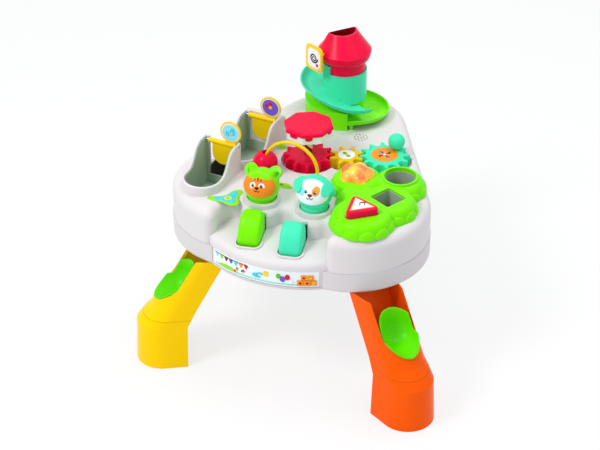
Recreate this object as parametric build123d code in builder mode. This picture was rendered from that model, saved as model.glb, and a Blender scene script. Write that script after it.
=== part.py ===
"""Child's activity table on three legs, with a ball tower, gears, pop-up heads and a shape sorter."""

import os
from math import acos, atan2, cos, degrees, hypot, radians, sin, sqrt

from build123d import *

os.makedirs("parts", exist_ok=True)

# Shared walls and clearances
wall = 2.6                 # moulded shell wall
standing = (Align.CENTER, Align.CENTER, Align.MIN)
hanging = (Align.CENTER, Align.CENTER, Align.MAX)
run_gap = 0.3              # air between pieces that move past each other
fit_gap = 0.05             # radial room of a pin in its bore
seat_gap = 0.2             # room round a piece that drops into a pocket

# Table shells
base_z = 185.0             # underside of the table
seam_z = 218.0             # joint between base shell and top shell
tray_seam_z = 191.0        # the same joint along the tray front
top_z = 272.0              # table top
lobe_r = 118.0
left_lobe = (-100.5, -74.0)
right_lobe = (60.5, -74.0)
rear_lobe_r = 106.0
rear_lobe = (-36.0, 131.8)
band_proud = 1.2           # the base band stands out this far from the top shell
table_reach = 300.0        # half size of working blocks larger than the table
floor_thick = 3.0
top_round = 14.0           # rounding of the table's top edge
base_round = 5.0           # rounding of the underside edge
tray_round = 9.0           # rounding of the tray's front edge

# Front tray
tray_r = 173.0
tray_center = (-25.0, -43.0)
tray_half_width = 93.0
tray_wall_y = -130.0       # foot of the wall behind the tray
tray_back_z = 242.0
tray_slope = 9.0           # degrees, falling to the front
recess_half_width = 88.0
recess_corner_r = 40.0
recess_mouth_r = 12.0
lobe_room_y = -174.0       # the room below the tray opens into the lobes behind this line
pedestal_r = 34.0          # rounded step that carries each pop-up collar
pedestal_blend_r = 9.0

# Legs
ring_y = -83.0             # centre of the circle that the two front legs stand on
leg_wall = 2.4
leg_angles = {"left": 210.0, "right": -30.0, "rear": 90.0}
rear_leg_shift = 44.0      # the rear leg stands further out under its lobe
foot_back, foot_front, foot_half = 195.4, 271.0, 41.0
knee_z, knee_back, knee_front, knee_half = 70.0, 193.4, 268.0, 36.5
boot_z, boot_back, boot_front, boot_half = 83.0, 187.2, 258.0, 35.8
shin_z, shin_back, shin_front, shin_half = 95.0, 181.4, 246.5, 35.0
head_z, head_back, head_front, head_half = 206.0, 121.3, 183.0, 34.2
leg_screw_z = (22.0, 52.0)
leg_screw_r, leg_screw_head_r, leg_screw_length = 1.6, 3.4, 8.0
screw_seat = 0.12          # the leg's back slopes a little under the flat screw heads
mouth_start = 150.0        # distance of the ball mouth's cut from the leg circle's centre

# Catch cups in the front legs
cup_r = 27.5               # inside radius of the trough
cup_wall = 2.4
cup_z = 140.0              # height of the trough's axis
cup_back = 177.0           # radius of the closed rear end
cup_top_z = 164.0
lip_proud, lip_top_z, lip_radius = 3.0, 131.0, 236.0

# Pop-up heads and pedals
popups = {"cub": (-62.0, -122.0), "pup": (19.5, -118.0)}
collar_r, collar_h, collar_round = 28.5, 4.0, 2.5
stem_r, stem_wall = 20.5, 2.2
popup_gap = 1.6            # round the stem in its collar
head_r = 26.5
head_rise = 19.0           # head centre above the collar
popup_travel = 10.0
face_tilt, face_turn, face_thick = 38.0, 6.0, 1.4
face_half_width, face_half_height, face_drop = 24.5, 18.8, 2.5
ear_across, ear_back, ear_up, ear_lean, ear_r, ear_tip_r, ear_h = 15.5, 3.0, 21.0, 28.0, 9.0, 2.5, 17.0
flap_across, flap_up, flap_lean, flap_r, flap_h = 23.0, 9.0, 22.0, 6.0, 13.0
pedal_turn = 8.0           # degrees, the pedals stand a little askew in plan
pedal_axles_at = {"cub": (-61.3, -154.0), "pup": (4.2, -154.0)}
pedal_axle_z, pedal_axle_r = 226.0, 2.5
pedal_width, pedal_arm_width = 34.0, 12.0
pedal_reach = 39.0         # from the axle to the front tip
pedal_tip_rise, pedal_top_rise = 8.0, 49.0
pedal_back_curve = [(-29.0, 34.0)]
pedal_top_round, pedal_chamfer, pedal_rear, pedal_low, pedal_round = 8.0, 3.0, 2.4, 6.0, 5.0
pedal_corner = 11.0
pedal_arm, pedal_arm_r = 34.2, 4.0   # from the axle to the round end under the stem
cheek_in, cheek_out, cheek_half, cheek_low = 18.0, 21.5, 7.0, 7.0
pedal_press = 17.0         # degrees of full travel
pup_pressed = 8.0          # degrees that the right pedal is pressed as stored
pedal_slot_gap = 1.0
slot_rim_w, slot_rim_h = 3.0, 2.5
slot_front, slot_back, slot_corner_r = -43.0, 3.0, 9.0

# Printed label on the tray front
label_thick, label_half, label_low_z, label_high_z = 1.0, 83.0, 192.5, 218.0

# Ball pockets along the left edge
pocket_bars = {"front": (-150.0, -65.0), "rear": (-124.0, 27.0)}
pocket_turn = -5.0
pocket_left, pocket_right = -30.0, 25.0
pocket_front, pocket_back = -86.0, 2.0
pocket_round = 27.0
pocket_wall = 3.0
rim_z, bar_z, crest_z = 287.0, 316.0, 320.5
slope_front, crest_front = -56.0, -9.0
pocket_length = 100.0      # working length for cutting blocks along a pocket
pocket_floors = {"front": 240.0, "rear": 254.0}
liner_wall = 1.5
cowl_length = 50.0
gate_half, gate_drop, gate_thick = 17.0, 37.0, 4.0
gate_pin_r, gate_barrel_r, gate_barrel_half = 1.8, 3.8, 23.0
paddle_r, paddle_thick, paddle_rise, paddle_side = 17.5, 2.4, 22.0, 14.5
passage_half = 23.6
passages = {"front": (255.0, 20.0), "rear": (272.0, 60.0)}   # lowest height, rear end
passage_top_z = 311.0
drop_hole_r = 21.5
drop_hole, drop_end, drop_low_z = (-149.0, -131.0), (-135.9, -147.6), 207.5
liner_drop = 1.5           # the lining stops this far below the wall's edge
pocket_span = pocket_right - pocket_left + 2 * pocket_wall

# Ball tower
tower_x, tower_y = -42.0, 165.0
drum_r, drum_top_z = 62.0, 302.0
drum_start, drum_end, drum_wall_turn = 90.0, 296.0, 2.6   # degrees round the tower
drum_exit_start, drum_exit_end = 150.0, 196.0
core_r = 31.0
ramp_wall, ramp_lip, ramp_curve = 2.4, 9.0, 14.0
lower_ramp_r, lower_ramp_end_r, lower_ramp_z = 74.0, 63.0, 285.0
lower_ramp_start, lower_ramp_end, lower_ramp_fall, lower_ramp_steps = 296.0, 452.0, 84.0, 10
tip_foot_r, tip_foot_angle, tip_foot_w = 58.0, 302.0, 5.0
column_r, column_low_z, column_top_z = 35.5, 352.0, 366.0
column_tall_start, column_tall_end = 150.0, 250.0
column_door_start, column_door_end, column_door_z = 150.0, 215.0, 356.0
upper_ramp_r, upper_ramp_z, upper_ramp_low_z, upper_ramp_lip = 70.0, 323.0, 299.0, 13.0
upper_ramp_start, upper_ramp_bend, upper_ramp_end, upper_ramp_steps = 150.0, 225.0, 330.0, 9
neck_r, neck_z, hopper_r = 33.0, 367.0, 42.0
hopper_low_z, hopper_wide_z, hopper_top_z = 330.0, 385.0, 412.5
mouth_r, mouth_shift, mouth_turn, mouth_corner_r = 24.5, (-9.0, 8.2), 318.0, 3.0
sign_w, sign_h, sign_thick, sign_corner_r = 36.0, 43.0, 2.5, 8.0
sign_at, sign_turn = (-78.0, 124.5, 380.0), -25.5
sign_tab, sign_tab_at, sign_tab_length = (10.0, 6.0, 2.0), (6.0, 5.0), 18.0

# Gears, carousel and crank
gear_module = 5.8
idler_at = (15.8, 24.0)
red_direction, teal_direction = 198.2, 22.0
big_teeth, small_teeth = 12, 8
gear_addendum, gear_dedendum = 4.2, 5.4
tooth_root, tooth_nose, gear_round = 5.3, 2.8, 1.2
gear_h = 19.7
well_depth, well_gap = 9.0, 3.0
gear_pin_r = 4.0
gear_names = ("carousel", "idler", "crank")
gear_pin_h, gear_bore_h = 10.0, 10.5
gear_low_z = top_z - well_depth + run_gap
big_pitch, small_pitch = 360 / big_teeth, 360 / small_teeth   # degrees from tooth to tooth
idler_lead = red_direction - 180 + small_pitch / 2 - teal_direction
crank_first_tooth = teal_direction + 180 + big_pitch / 2 - idler_lead * big_pitch / small_pitch
pole_r, canopy_r, canopy_z, band_h, icing_h = 6.0, 37.5, 319.0, 11.5, 6.5
canopy_turn, icing_thick, icing_round = 8.0, 1.4, 4.0
drip_overlap = 2.0
canopy_sides = 8
drips = [(-5.0, 12.0, 10.5), (6.0, 10.0, 8.0), (-2.0, 14.0, 9.5)]   # across the side, width, length
knob_r, knob_rise, knob_pin_r, knob_pin_h = 13.0, 12.4, 3.0, 15.0
knob_at = (80.5, 69.0)
knob_low_z = gear_low_z + gear_h + run_gap

# Bush cover, light, button and shape sorter
bush_lobes = [
    (98.0, -130.0, 45.0),
    (120.0, -84.0, 42.0),
    (118.0, -26.0, 38.0),
    (58.0, -42.0, 38.0),
    (76.0, -86.0, 30.0),
]
bush_h, bush_round, bush_wall, bush_skirt = 22.0, 13.0, 2.4, 8.0
round_hole = (119.0, -25.0)
round_hole_r, ring_w, ring_h = 23.5, 3.2, 3.0
square_hole = (121.0, -83.0)
square_side, square_turn, square_corner_r = 37.5, -28.0, 3.0
sorter_clear = 1.0         # the table below the sorter holes is cut a little wider
dome_at = (57.0, -43.0)
dome_r, dome_lobe_r, dome_lobes, dome_ring, dome_turn, dome_wall = 18.0, 12.5, 5, 14.0, 20.0, 1.8
lamp_r, lamp_h = 5.0, 8.0
button_at = (95.7, -133.8)
button_r, button_round, button_h, button_turn = 33.0, 6.5, 22.0, 8.0
button_low_z, button_gap, button_flange, button_edge = 283.0, 0.4, 2.0, 2.5
spring_r, spring_wire = 9.0, 1.2
switch_body, switch_body_h, switch_plunger_h = 9.0, 5.0, 7.5
chute_left, chute_width, chute_wall = 92.0, 54.0, 2.0
chute_side = [(8, 259), (8, 228), (-138, 206), (-138, 222), (-66, 250), (-20, 262)]
chute_room = [(6, 270), (6, 230), (-150, 207.6), (-150, 270)]

# Arch and bead
arch_at = (-43.8, -52.5)
arch_r, rod_r = 42.0, 2.5
bead_r, bead_bore_r, bead_bore_shift = 18.6, 7.0, 1.8
bead_rest = sqrt(bead_r**2 - (bead_bore_r - bead_bore_shift) ** 2)   # from its middle to the bore's rim
arch_z = top_z + bead_rest + run_gap
arch_low_z = top_z - wall

# Electrics in the base
speaker_at, speaker_r, speaker_h = (12.0, 98.0), 18.0, 12.0
speaker_hole_r, speaker_rings = 1.4, [(5.0, 6), (10.0, 12)]
wire_hole_r = 4.0
board_at, board_size, board_z = (-15.0, -30.0), (70.0, 46.0, 1.6), 202.0
battery_at = (-30.0, 40.0)
battery_r, battery_length, battery_count = 7.2, 50.5, 3
battery_wall = 1.8
battery_room, battery_box_z, battery_nub = (58.0, 46.0), 202.0, 1.5
cover_screw = (10.0, 40.0)
cover_at, cover_size, cover_thick = (-23.0, 40.0), (82.0, 54.0), 2.4
chip_size, chip_places, chip_row, chip_r, chip_h = (14.0, 14.0, 2.0), (-20.0, 20.0), 12.0, 3.0, 8.0
speaker_rim_h = 4.0
switch_at, switch_size, switch_travel = (30.0, 10.0), (9.0, 14.0), 6.0
tray_screw = (-26.0, -178.0)
rear_screws = [(-36.0, 215.0), (-115.0, 120.0), (48.0, 120.0)]
casing_screws_at = [(-192.0, -60.0), tray_screw, (158.0, -48.0), *rear_screws]
screw_r, screw_head_r, boss_r = 1.6, 3.4, 5.0
boss_z, tray_boss_z = 212.0, 233.0
screw_sink, screw_head_h, screw_length = 2.6, 2.0, 30.0


def table_circles(inset):
    """The three lobes as (x, y, radius), counter-clockwise."""
    return [
        (*left_lobe, lobe_r - inset),
        (*right_lobe, lobe_r - inset),
        (*rear_lobe, rear_lobe_r - inset),
    ]


def tangent_angle(a, b):
    """Direction of the outer tangent points of circles a and b, going counter-clockwise."""
    dx, dy = b[0] - a[0], b[1] - a[1]
    return degrees(atan2(dy, dx) - acos((a[2] - b[2]) / hypot(dx, dy)))


def on_circle(circle, angle):
    """Point of a circle at an angle in degrees."""
    x, y, r = circle
    return (x + r * cos(radians(angle)), y + r * sin(radians(angle)))


def table_outline(inset=0.0):
    """Three lobes joined by straight tangents."""
    circles = table_circles(inset)
    turns = [tangent_angle(circles[i], circles[(i + 1) % 3]) for i in range(3)]
    with BuildSketch() as outline:
        with BuildLine():
            for i, circle in enumerate(circles):
                start = turns[i - 1]
                sweep_angle = (turns[i] - start) % 360
                CenterArc(circle[:2], circle[2], start, sweep_angle)
                Line(on_circle(circle, turns[i]), on_circle(circles[(i + 1) % 3], turns[i]))
        make_face()
    return outline.sketch


def tray_outline(inset=0.0):
    """Bow-fronted tray between the two front lobes."""
    half = tray_half_width - inset
    with BuildSketch() as tray:
        with Locations(tray_center):
            Circle(tray_r - inset)
        with Locations((tray_center[0], tray_wall_y + recess_corner_r - tray_r)):
            Rectangle(2 * half, 2 * tray_r, mode=Mode.INTERSECT)
    return tray.sketch


def on_pedestal(vertex, inset):
    """Whether a corner of the recess lies on the edge of a collar's pedestal."""
    reach = [hypot(vertex.X - x, vertex.Y - y) for x, y in popups.values()]
    return any(abs(r - pedestal_r + inset) < 0.01 for r in reach)


def recess_outline(inset=0.0):
    """Plan of the hollow above the tray, with the collars' pedestals left standing."""
    half = recess_half_width + inset
    back = tray_wall_y + inset
    with BuildSketch() as recess:
        with Locations((tray_center[0], back - tray_r / 2)):
            Rectangle(2 * half, tray_r)
        fillet(recess.vertices().group_by(Axis.Y)[-1], recess_corner_r)
        with Locations(*popups.values()):
            Circle(pedestal_r - inset, mode=Mode.SUBTRACT)
        meets = [v for v in recess.vertices() if on_pedestal(v, inset)]
        fillet(meets, pedestal_blend_r)
    return recess.sketch


def upper_block(inset=0.0, low_z=seam_z):
    """Solid of the table above the seam, without the tray."""
    with BuildPart() as block:
        with BuildSketch(Plane.XY.offset(low_z)):
            add(table_outline(inset))
        extrude(amount=top_z - inset - low_z)
        with BuildSketch(Plane.XY.offset(low_z)):
            add(recess_outline(inset))
        extrude(amount=top_z - low_z, mode=Mode.SUBTRACT)
        corners = block.edges().filter_by(Axis.Z).sort_by(Axis.Y)[:2]
        fillet(corners, recess_mouth_r - inset)
        fillet(block.faces().sort_by(Axis.Z)[-1].edges(), top_round - inset)
    return block.part


def tray_floor(drop=0.0):
    """Plane of the tray floor, falling to the front."""
    return Plane(
        origin=(0, tray_wall_y, tray_back_z - drop),
        x_dir=(1, 0, 0),
        z_dir=(0, -sin(radians(tray_slope)), cos(radians(tray_slope))),
    )


def tray_block():
    """Solid of the tray."""
    with BuildPart() as tray:
        with BuildSketch(Plane.XY.offset(tray_seam_z)):
            add(tray_outline())
        extrude(amount=top_z - tray_seam_z)
        split(bisect_by=tray_floor(), keep=Keep.BOTTOM)
        front = tray.faces().sort_by(Axis.Z)[-1].edges().sort_by(Axis.Y)[0]
        fillet(front, tray_round)
    return tray.part


def under_tray():
    """Room below the tray floor, open to the inside of the table."""
    with BuildPart() as room:
        with BuildSketch(Plane.XY.offset(tray_seam_z - wall)):
            add(table_outline(wall))
            with Locations((0, lobe_room_y + table_reach)):
                Rectangle(2 * table_reach, 2 * table_reach, mode=Mode.INTERSECT)
            add(tray_outline(wall))
        extrude(amount=tray_back_z - tray_seam_z)
        split(bisect_by=tray_floor(wall), keep=Keep.BOTTOM)
        high = room.edges().filter_by(lambda e: e.center().Z > tray_seam_z + wall)
        fillet(high.sort_by(Axis.Y)[0], tray_round - wall)
    return room.part


def pocket_plane(which, z=0.0):
    """Plan plane of a pocket, with its origin under the gate's bar."""
    turn = radians(pocket_turn)
    return Plane(origin=(*pocket_bars[which], z), x_dir=(cos(turn), sin(turn), 0), z_dir=(0, 0, 1))


def leg_head_room():
    """Room for the leg heads beside the tray."""
    with BuildPart() as room:
        with BuildSketch(Plane.XY.offset(tray_seam_z - wall)):
            add(table_outline(wall))
        extrude(amount=head_z + run_gap - tray_seam_z + wall)
    return room.part


def pocket_side_plane(which):
    """Upright plane along a pocket, seen from its side."""
    turn = radians(pocket_turn)
    return Plane(
        origin=(*pocket_bars[which], 0),
        x_dir=(-sin(turn), cos(turn), 0),
        z_dir=(cos(turn), sin(turn), 0),
    )


def pocket_prism(which, grow, low_z, high_z, back=pocket_back):
    """Upright block over a pocket's plan: straight sides and a round front."""
    mid, half = (pocket_left + pocket_right) / 2, (pocket_right - pocket_left) / 2 + grow
    front, rear = pocket_front - grow, back + grow
    with BuildPart() as prism:
        with BuildSketch(pocket_plane(which, low_z)) as plan:
            with Locations((mid, (front + rear) / 2)):
                Rectangle(2 * half, rear - front)
            fillet(plan.vertices().group_by(Axis.Y)[0], pocket_round + grow)
        extrude(amount=high_z - low_z)
    return prism.part


def pocket_side(which, drop=0.0):
    """Everything below the side line of a pocket's walls, lowered by drop."""
    rim, crest, low = rim_z - drop, crest_z - drop, base_z
    back = pocket_back + pocket_wall
    start = crest_front - pocket_length
    with BuildPart() as side:
        with BuildSketch(pocket_side_plane(which)):
            with BuildLine():
                Polyline((start, low), (start, rim), (slope_front, rim))
                Spline((slope_front, rim), (crest_front, crest), tangents=((1, 0), (1, 0)))
                Line((crest_front, crest), (back, crest))
                if which == "rear":
                    Spline((back, crest), (cowl_length, top_z - drop), tangents=((1, 0), (1, -0.5)))
                    Polyline((cowl_length, top_z - drop), (cowl_length, low), (start, low))
                else:
                    Polyline((back, crest), (back, low), (start, low))
            make_face()
        extrude(amount=pocket_length, both=True)
    return side.part


def pocket_housing(which):
    """Solid of the raised walls round one pocket."""
    back = cowl_length if which == "rear" else pocket_back
    with BuildPart() as housing:
        add(pocket_prism(which, pocket_wall, top_z - top_round, crest_z, back))
        add(pocket_side(which), mode=Mode.INTERSECT)
    return housing.part


def gate_way(which):
    """Way for a ball through a gate, with the notch that the gate's barrel lies in."""
    low, length = passages[which]
    back = pocket_back + pocket_wall
    with BuildPart() as way:
        with BuildSketch(pocket_plane(which, low)):
            with Locations((0, (length - gate_barrel_r) / 2)):
                Rectangle(2 * passage_half, length + gate_barrel_r)
        extrude(amount=passage_top_z - low)
        with BuildSketch(pocket_plane(which, passage_top_z)):
            with Locations((0, (crest_front + back) / 2)):
                Rectangle(2 * passage_half, back - crest_front)
        extrude(amount=crest_z - passage_top_z + wall)
    return way.part


def pocket_room(which):
    """Hollow of a pocket and of the way through its gate."""
    with BuildPart() as room:
        add(pocket_prism(which, 0, base_z, crest_z + pocket_wall))
        add(gate_way(which))
    return room.part


def cowl_room():
    """Hollow of the cowl behind the rear gate."""
    with BuildPart() as room:
        with BuildSketch(pocket_plane("rear", top_z)):
            with Locations(((pocket_left + pocket_right) / 2, (pocket_back + pocket_wall + cowl_length) / 2)):
                Rectangle(pocket_right - pocket_left, cowl_length - pocket_back - pocket_wall)
        extrude(amount=crest_z - top_z)
        add(pocket_side("rear", pocket_wall), mode=Mode.INTERSECT)
    return room.part


def gate_bore(which, radius, start, length):
    """Round bar along a gate's hinge line."""
    with BuildPart() as bore:
        with BuildSketch(pocket_side_plane(which).offset(start)):
            with Locations((0, bar_z)):
                Circle(radius)
        extrude(amount=length)
    return bore.part


def pedal_plane(which, z=pedal_axle_z):
    """Plan plane of a pedal, with its origin on the axle."""
    turn = radians(pedal_turn)
    return Plane(origin=(*pedal_axles_at[which], z), x_dir=(cos(turn), sin(turn), 0), z_dir=(0, 0, 1))


def pedal_side_plane(which):
    """Upright plane along a pedal, seen from its side."""
    turn = radians(pedal_turn)
    return Plane(
        origin=(*pedal_axles_at[which], pedal_axle_z),
        x_dir=(-sin(turn), cos(turn), 0),
        z_dir=(cos(turn), sin(turn), 0),
    )


def pedal_front_plane(which):
    """Upright plane across a pedal, seen from its front."""
    turn = radians(pedal_turn)
    return Plane(
        origin=(*pedal_axles_at[which], pedal_axle_z),
        x_dir=(cos(turn), sin(turn), 0),
        z_dir=(sin(turn), -cos(turn), 0),
    )


def slot_prism(which, grow, low_z, high_z):
    """Upright block over a pedal's slot."""
    half = pedal_width / 2 + pedal_slot_gap + grow
    front, rear = slot_front - grow, slot_back
    with BuildPart() as prism:
        with BuildSketch(pedal_plane(which, low_z)) as plan:
            with Locations((0, (front + rear) / 2)):
                Rectangle(2 * half, rear - front)
            fillet(plan.vertices().group_by(Axis.Y)[0], slot_corner_r + grow)
        extrude(amount=high_z - low_z)
    return prism.part


def slot_rim(which):
    """Raised edge round a pedal's slot on the tray floor."""
    with BuildPart() as rim:
        add(slot_prism(which, slot_rim_w, pedal_axle_z + pedal_axle_r + wall, top_z))
        split(bisect_by=tray_floor(-slot_rim_h), keep=Keep.BOTTOM)
    return rim.part


def pedal_cheeks(which):
    """Two plates below the tray that hold a pedal's axle."""
    with BuildPart() as cheeks:
        with BuildSketch(pedal_plane(which, pedal_axle_z - cheek_low)):
            with Locations((-(cheek_in + cheek_out) / 2, 0), ((cheek_in + cheek_out) / 2, 0)):
                Rectangle(cheek_out - cheek_in, 2 * cheek_half)
        extrude(amount=top_z - pedal_axle_z)
        split(bisect_by=tray_floor(wall / 2), keep=Keep.BOTTOM)
        with BuildSketch(pedal_side_plane(which).offset(-cheek_out)):
            Circle(pedal_axle_r + fit_gap)
        extrude(amount=2 * cheek_out, mode=Mode.SUBTRACT)
    return cheeks.part


def gear_center(name):
    """Plan position of a gear."""
    reach = gear_module * (big_teeth + small_teeth) / 2
    if name == "idler":
        return idler_at
    angle = radians(red_direction if name == "carousel" else teal_direction)
    return (idler_at[0] + reach * cos(angle), idler_at[1] + reach * sin(angle))


def gear_teeth(name):
    """Number of teeth of a gear."""
    return small_teeth if name == "idler" else big_teeth


def gear_tip_r(name):
    """Radius over the teeth of a gear."""
    return gear_module * gear_teeth(name) / 2 + gear_addendum


def well_wall(name):
    """Wall and floor of the round well that a gear turns in."""
    with BuildPart() as well:
        with BuildSketch(Plane.XY.offset(top_z - well_depth - wall)):
            with Locations(gear_center(name)):
                Circle(gear_tip_r(name) + well_gap + wall)
        extrude(amount=well_depth + wall / 2)
    return well.part


def well_room(name):
    """Hollow of the round well that a gear turns in."""
    with BuildPart() as well:
        with BuildSketch(Plane.XY.offset(top_z - well_depth)):
            with Locations(gear_center(name)):
                Circle(gear_tip_r(name) + well_gap)
        extrude(amount=2 * well_depth)
    return well.part


def sorter_cut(grow, low_z, high_z):
    """Round and square passages of the shape sorter."""
    with BuildPart() as cut:
        with BuildSketch(Plane.XY.offset(low_z)):
            with Locations(round_hole):
                Circle(round_hole_r + grow)
            with Locations(Location((*square_hole, 0), (0, 0, square_turn))):
                RectangleRounded(square_side + 2 * grow, square_side + 2 * grow, square_corner_r + grow)
        extrude(amount=high_z - low_z)
    return cut.part


with BuildPart() as table_top_shell:
    add(upper_block())
    add(tray_block())
    for which in pocket_bars:
        add(pocket_housing(which))
    add(upper_block(wall, seam_z - wall), mode=Mode.SUBTRACT)
    add(under_tray(), mode=Mode.SUBTRACT)
    add(leg_head_room(), mode=Mode.SUBTRACT)
    for which in pedal_axles_at:
        add(slot_rim(which))
        add(pedal_cheeks(which))
    for name in gear_names:
        add(well_wall(name))
    with BuildSketch(Plane.XY.offset(top_z - wall)):
        with Locations(*popups.values()):
            Circle(collar_r)
    extrude(amount=collar_h + wall)
    collar_tops = table_top_shell.faces().filter_by(Plane.XY).group_by(Axis.Z)[-2]
    fillet(collar_tops.edges().filter_by(GeomType.CIRCLE), collar_round)
    for x, y in casing_screws_at:
        ceiling = tray_boss_z if (x, y) == tray_screw else top_z - wall / 2
        with BuildSketch(Plane.XY.offset(boss_z)):
            with Locations((x, y)):
                Circle(boss_r)
                Circle(screw_r + fit_gap, mode=Mode.SUBTRACT)
        extrude(amount=ceiling - boss_z)
    for name in gear_names:
        add(well_room(name), mode=Mode.SUBTRACT)
    for which in pocket_bars:
        add(pocket_room(which), mode=Mode.SUBTRACT)
        pin_bore = gate_bore(which, gate_pin_r + fit_gap, pocket_left - pocket_wall, pocket_span)
        add(pin_bore, mode=Mode.SUBTRACT)
    add(cowl_room(), mode=Mode.SUBTRACT)
    for which in pedal_axles_at:
        add(slot_prism(which, 0, seam_z - wall, top_z), mode=Mode.SUBTRACT)
    add(sorter_cut(sorter_clear, seam_z, top_z + wall), mode=Mode.SUBTRACT)
    with BuildSketch(Plane.XY.offset(top_z - well_depth)):
        with Locations(*popups.values()):
            Circle(stem_r + popup_gap)
        with Locations(speaker_at):
            Circle(speaker_hole_r)
            for ring, count in speaker_rings:
                with PolarLocations(ring, count):
                    Circle(speaker_hole_r)
        with Locations((arch_at[0] - arch_r, arch_at[1]), (arch_at[0] + arch_r, arch_at[1])):
            Circle(rod_r + fit_gap)
        with Locations(dome_at, button_at):
            Circle(wire_hole_r)
    extrude(amount=2 * well_depth, mode=Mode.SUBTRACT)
table_top_shell.part.label = "table_top_shell"
export_step(table_top_shell.part, "parts/table_top_shell.step")


def leg_plane(side, z=0.0):
    """Plan plane of a leg: X points outwards along the leg, Y across it."""
    angle = radians(leg_angles[side])
    shift = rear_leg_shift if side == "rear" else 0.0
    origin = (shift * cos(angle), ring_y + shift * sin(angle), z)
    return Plane(origin=origin, x_dir=(cos(angle), sin(angle), 0), z_dir=(0, 0, 1))


def leg_front_plane(side, radius=0.0):
    """Upright plane across a leg, looking outwards, at a distance from the leg circle's centre."""
    angle = radians(leg_angles[side])
    plan = leg_plane(side)
    outward = Vector(cos(angle), sin(angle), 0)
    return Plane(origin=plan.origin + outward * radius, x_dir=(-sin(angle), cos(angle), 0), z_dir=outward)


def leg_section(side, z, back, front, half):
    """D-shaped section of a leg: flat back, straight sides and a round front."""
    with BuildSketch(leg_plane(side, z)) as section:
        with BuildLine():
            Polyline((front - half, half), (back, half), (back, -half), (front - half, -half))
            ThreePointArc((front - half, -half), (front, 0), (front - half, half))
        make_face()
    return section.sketch


def leg_form(side, grow=0.0, back_grow=0.0, low_z=0.0):
    """Solid of a leg, grown at its sides and front, and by another amount at its back."""
    stations = [
        (low_z, foot_back, foot_front, foot_half),
        (knee_z, knee_back, knee_front, knee_half),
        (boot_z, boot_back, boot_front, boot_half),
        (shin_z, shin_back, shin_front, shin_half),
        (head_z, head_back, head_front, head_half),
    ]
    with BuildPart() as form:
        loft([leg_section(side, z, b - back_grow, f + grow, h + grow) for z, b, f, h in stations], ruled=True)
    return form.part


def above_floor(inset):
    """Room inside the base shell that a leg's head may fill."""
    with BuildPart() as room:
        with BuildSketch(Plane.XY.offset(base_z)):
            add(table_outline(inset))
        extrude(amount=head_z - base_z + wall)
        with BuildSketch():
            Rectangle(2 * table_reach, 2 * table_reach)
        extrude(amount=base_z)
    return room.part


def leg_hole(side):
    """Hole in the table's floor that a leg's head goes through."""
    with BuildPart() as hole:
        add(leg_form(side, seat_gap, seat_gap))
        with BuildSketch(Plane.XY.offset(base_z)):
            add(table_outline(wall))
        extrude(amount=floor_thick, mode=Mode.INTERSECT)
    return hole.part


def mouth_prism(side, grow, start, length, top):
    """U-shaped block along a leg's ball trough."""
    with BuildPart() as mouth:
        with BuildSketch(leg_front_plane(side, start)):
            with Locations((0, cup_z)):
                Circle(cup_r + grow)
            with Locations((0, (cup_z + top) / 2)):
                Rectangle(2 * (cup_r + grow), top - cup_z)
        extrude(amount=length)
    return mouth.part


def leg_screw_places(side, depth):
    """Places on a leg's back for its screws, at a depth behind the back face."""
    return [leg_front_plane(side, foot_back - depth - (foot_back - knee_back) * z / knee_z).location
            * Location((0, z, 0)) for z in leg_screw_z]


def leg_shell(side):
    """Front moulding of a leg: hollow, open at the back, with the ball mouth in a front leg."""
    with BuildPart() as leg:
        add(leg_form(side))
        add(leg_form(side, -leg_wall, leg_wall, leg_wall), mode=Mode.SUBTRACT)
        if side != "rear":
            grow = cup_wall + seat_gap
            add(mouth_prism(side, grow, mouth_start, foot_front, head_z + wall), mode=Mode.SUBTRACT)
        add(above_floor(wall + run_gap), mode=Mode.INTERSECT)
    return leg.part


def leg_panel(side):
    """Flat panel that closes the back of a leg."""
    with BuildPart() as panel:
        add(leg_form(side, -leg_wall - seat_gap, 0, leg_wall))
        add(leg_form(side, 0, -leg_wall, 0), mode=Mode.SUBTRACT)
        with Locations(*leg_screw_places(side, leg_wall)):
            Cylinder(leg_screw_r + fit_gap, 8 * leg_wall, mode=Mode.SUBTRACT)
        add(above_floor(wall + run_gap), mode=Mode.INTERSECT)
    return panel.part


def cup_form(side, grow, top):
    """Ball trough with a round rear end."""
    end = cup_back + cup_r + cup_wall
    with BuildPart() as trough:
        add(mouth_prism(side, grow, cup_back, foot_front, top))
        with BuildSketch(leg_plane(side)):
            with Locations((end, 0)):
                Circle(cup_r + grow)
            with Locations((end + foot_front / 2, 0)):
                Rectangle(foot_front, 2 * (cup_r + grow))
        extrude(amount=head_z, mode=Mode.INTERSECT)
    return trough.part


def leg_cup(side):
    """Scoop that catches the balls, with a lip outside the leg's mouth."""
    with BuildPart() as reach:
        with BuildSketch(Plane.XY):
            Rectangle(4 * table_reach, 4 * table_reach)
        extrude(amount=lip_top_z)
        add(leg_form(side, lip_proud), mode=Mode.INTERSECT)
        add(leg_form(side, -leg_wall - seat_gap, -leg_wall - seat_gap))
    with BuildPart() as cup:
        add(cup_form(side, cup_wall, cup_top_z))
        add(cup_form(side, 0, cup_top_z + cup_wall), mode=Mode.SUBTRACT)
        add(reach.part, mode=Mode.INTERSECT)
        angle = radians(leg_angles[side])
        fall = (cup_top_z - lip_top_z) / (lip_radius - cup_back)
        outward = Vector(cos(angle), sin(angle), 0)
        start = leg_plane(side, cup_top_z).origin + outward * cup_back
        split(bisect_by=Plane(origin=start, z_dir=outward * fall + Vector(0, 0, 1)), keep=Keep.BOTTOM)
    return cup.part


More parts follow.
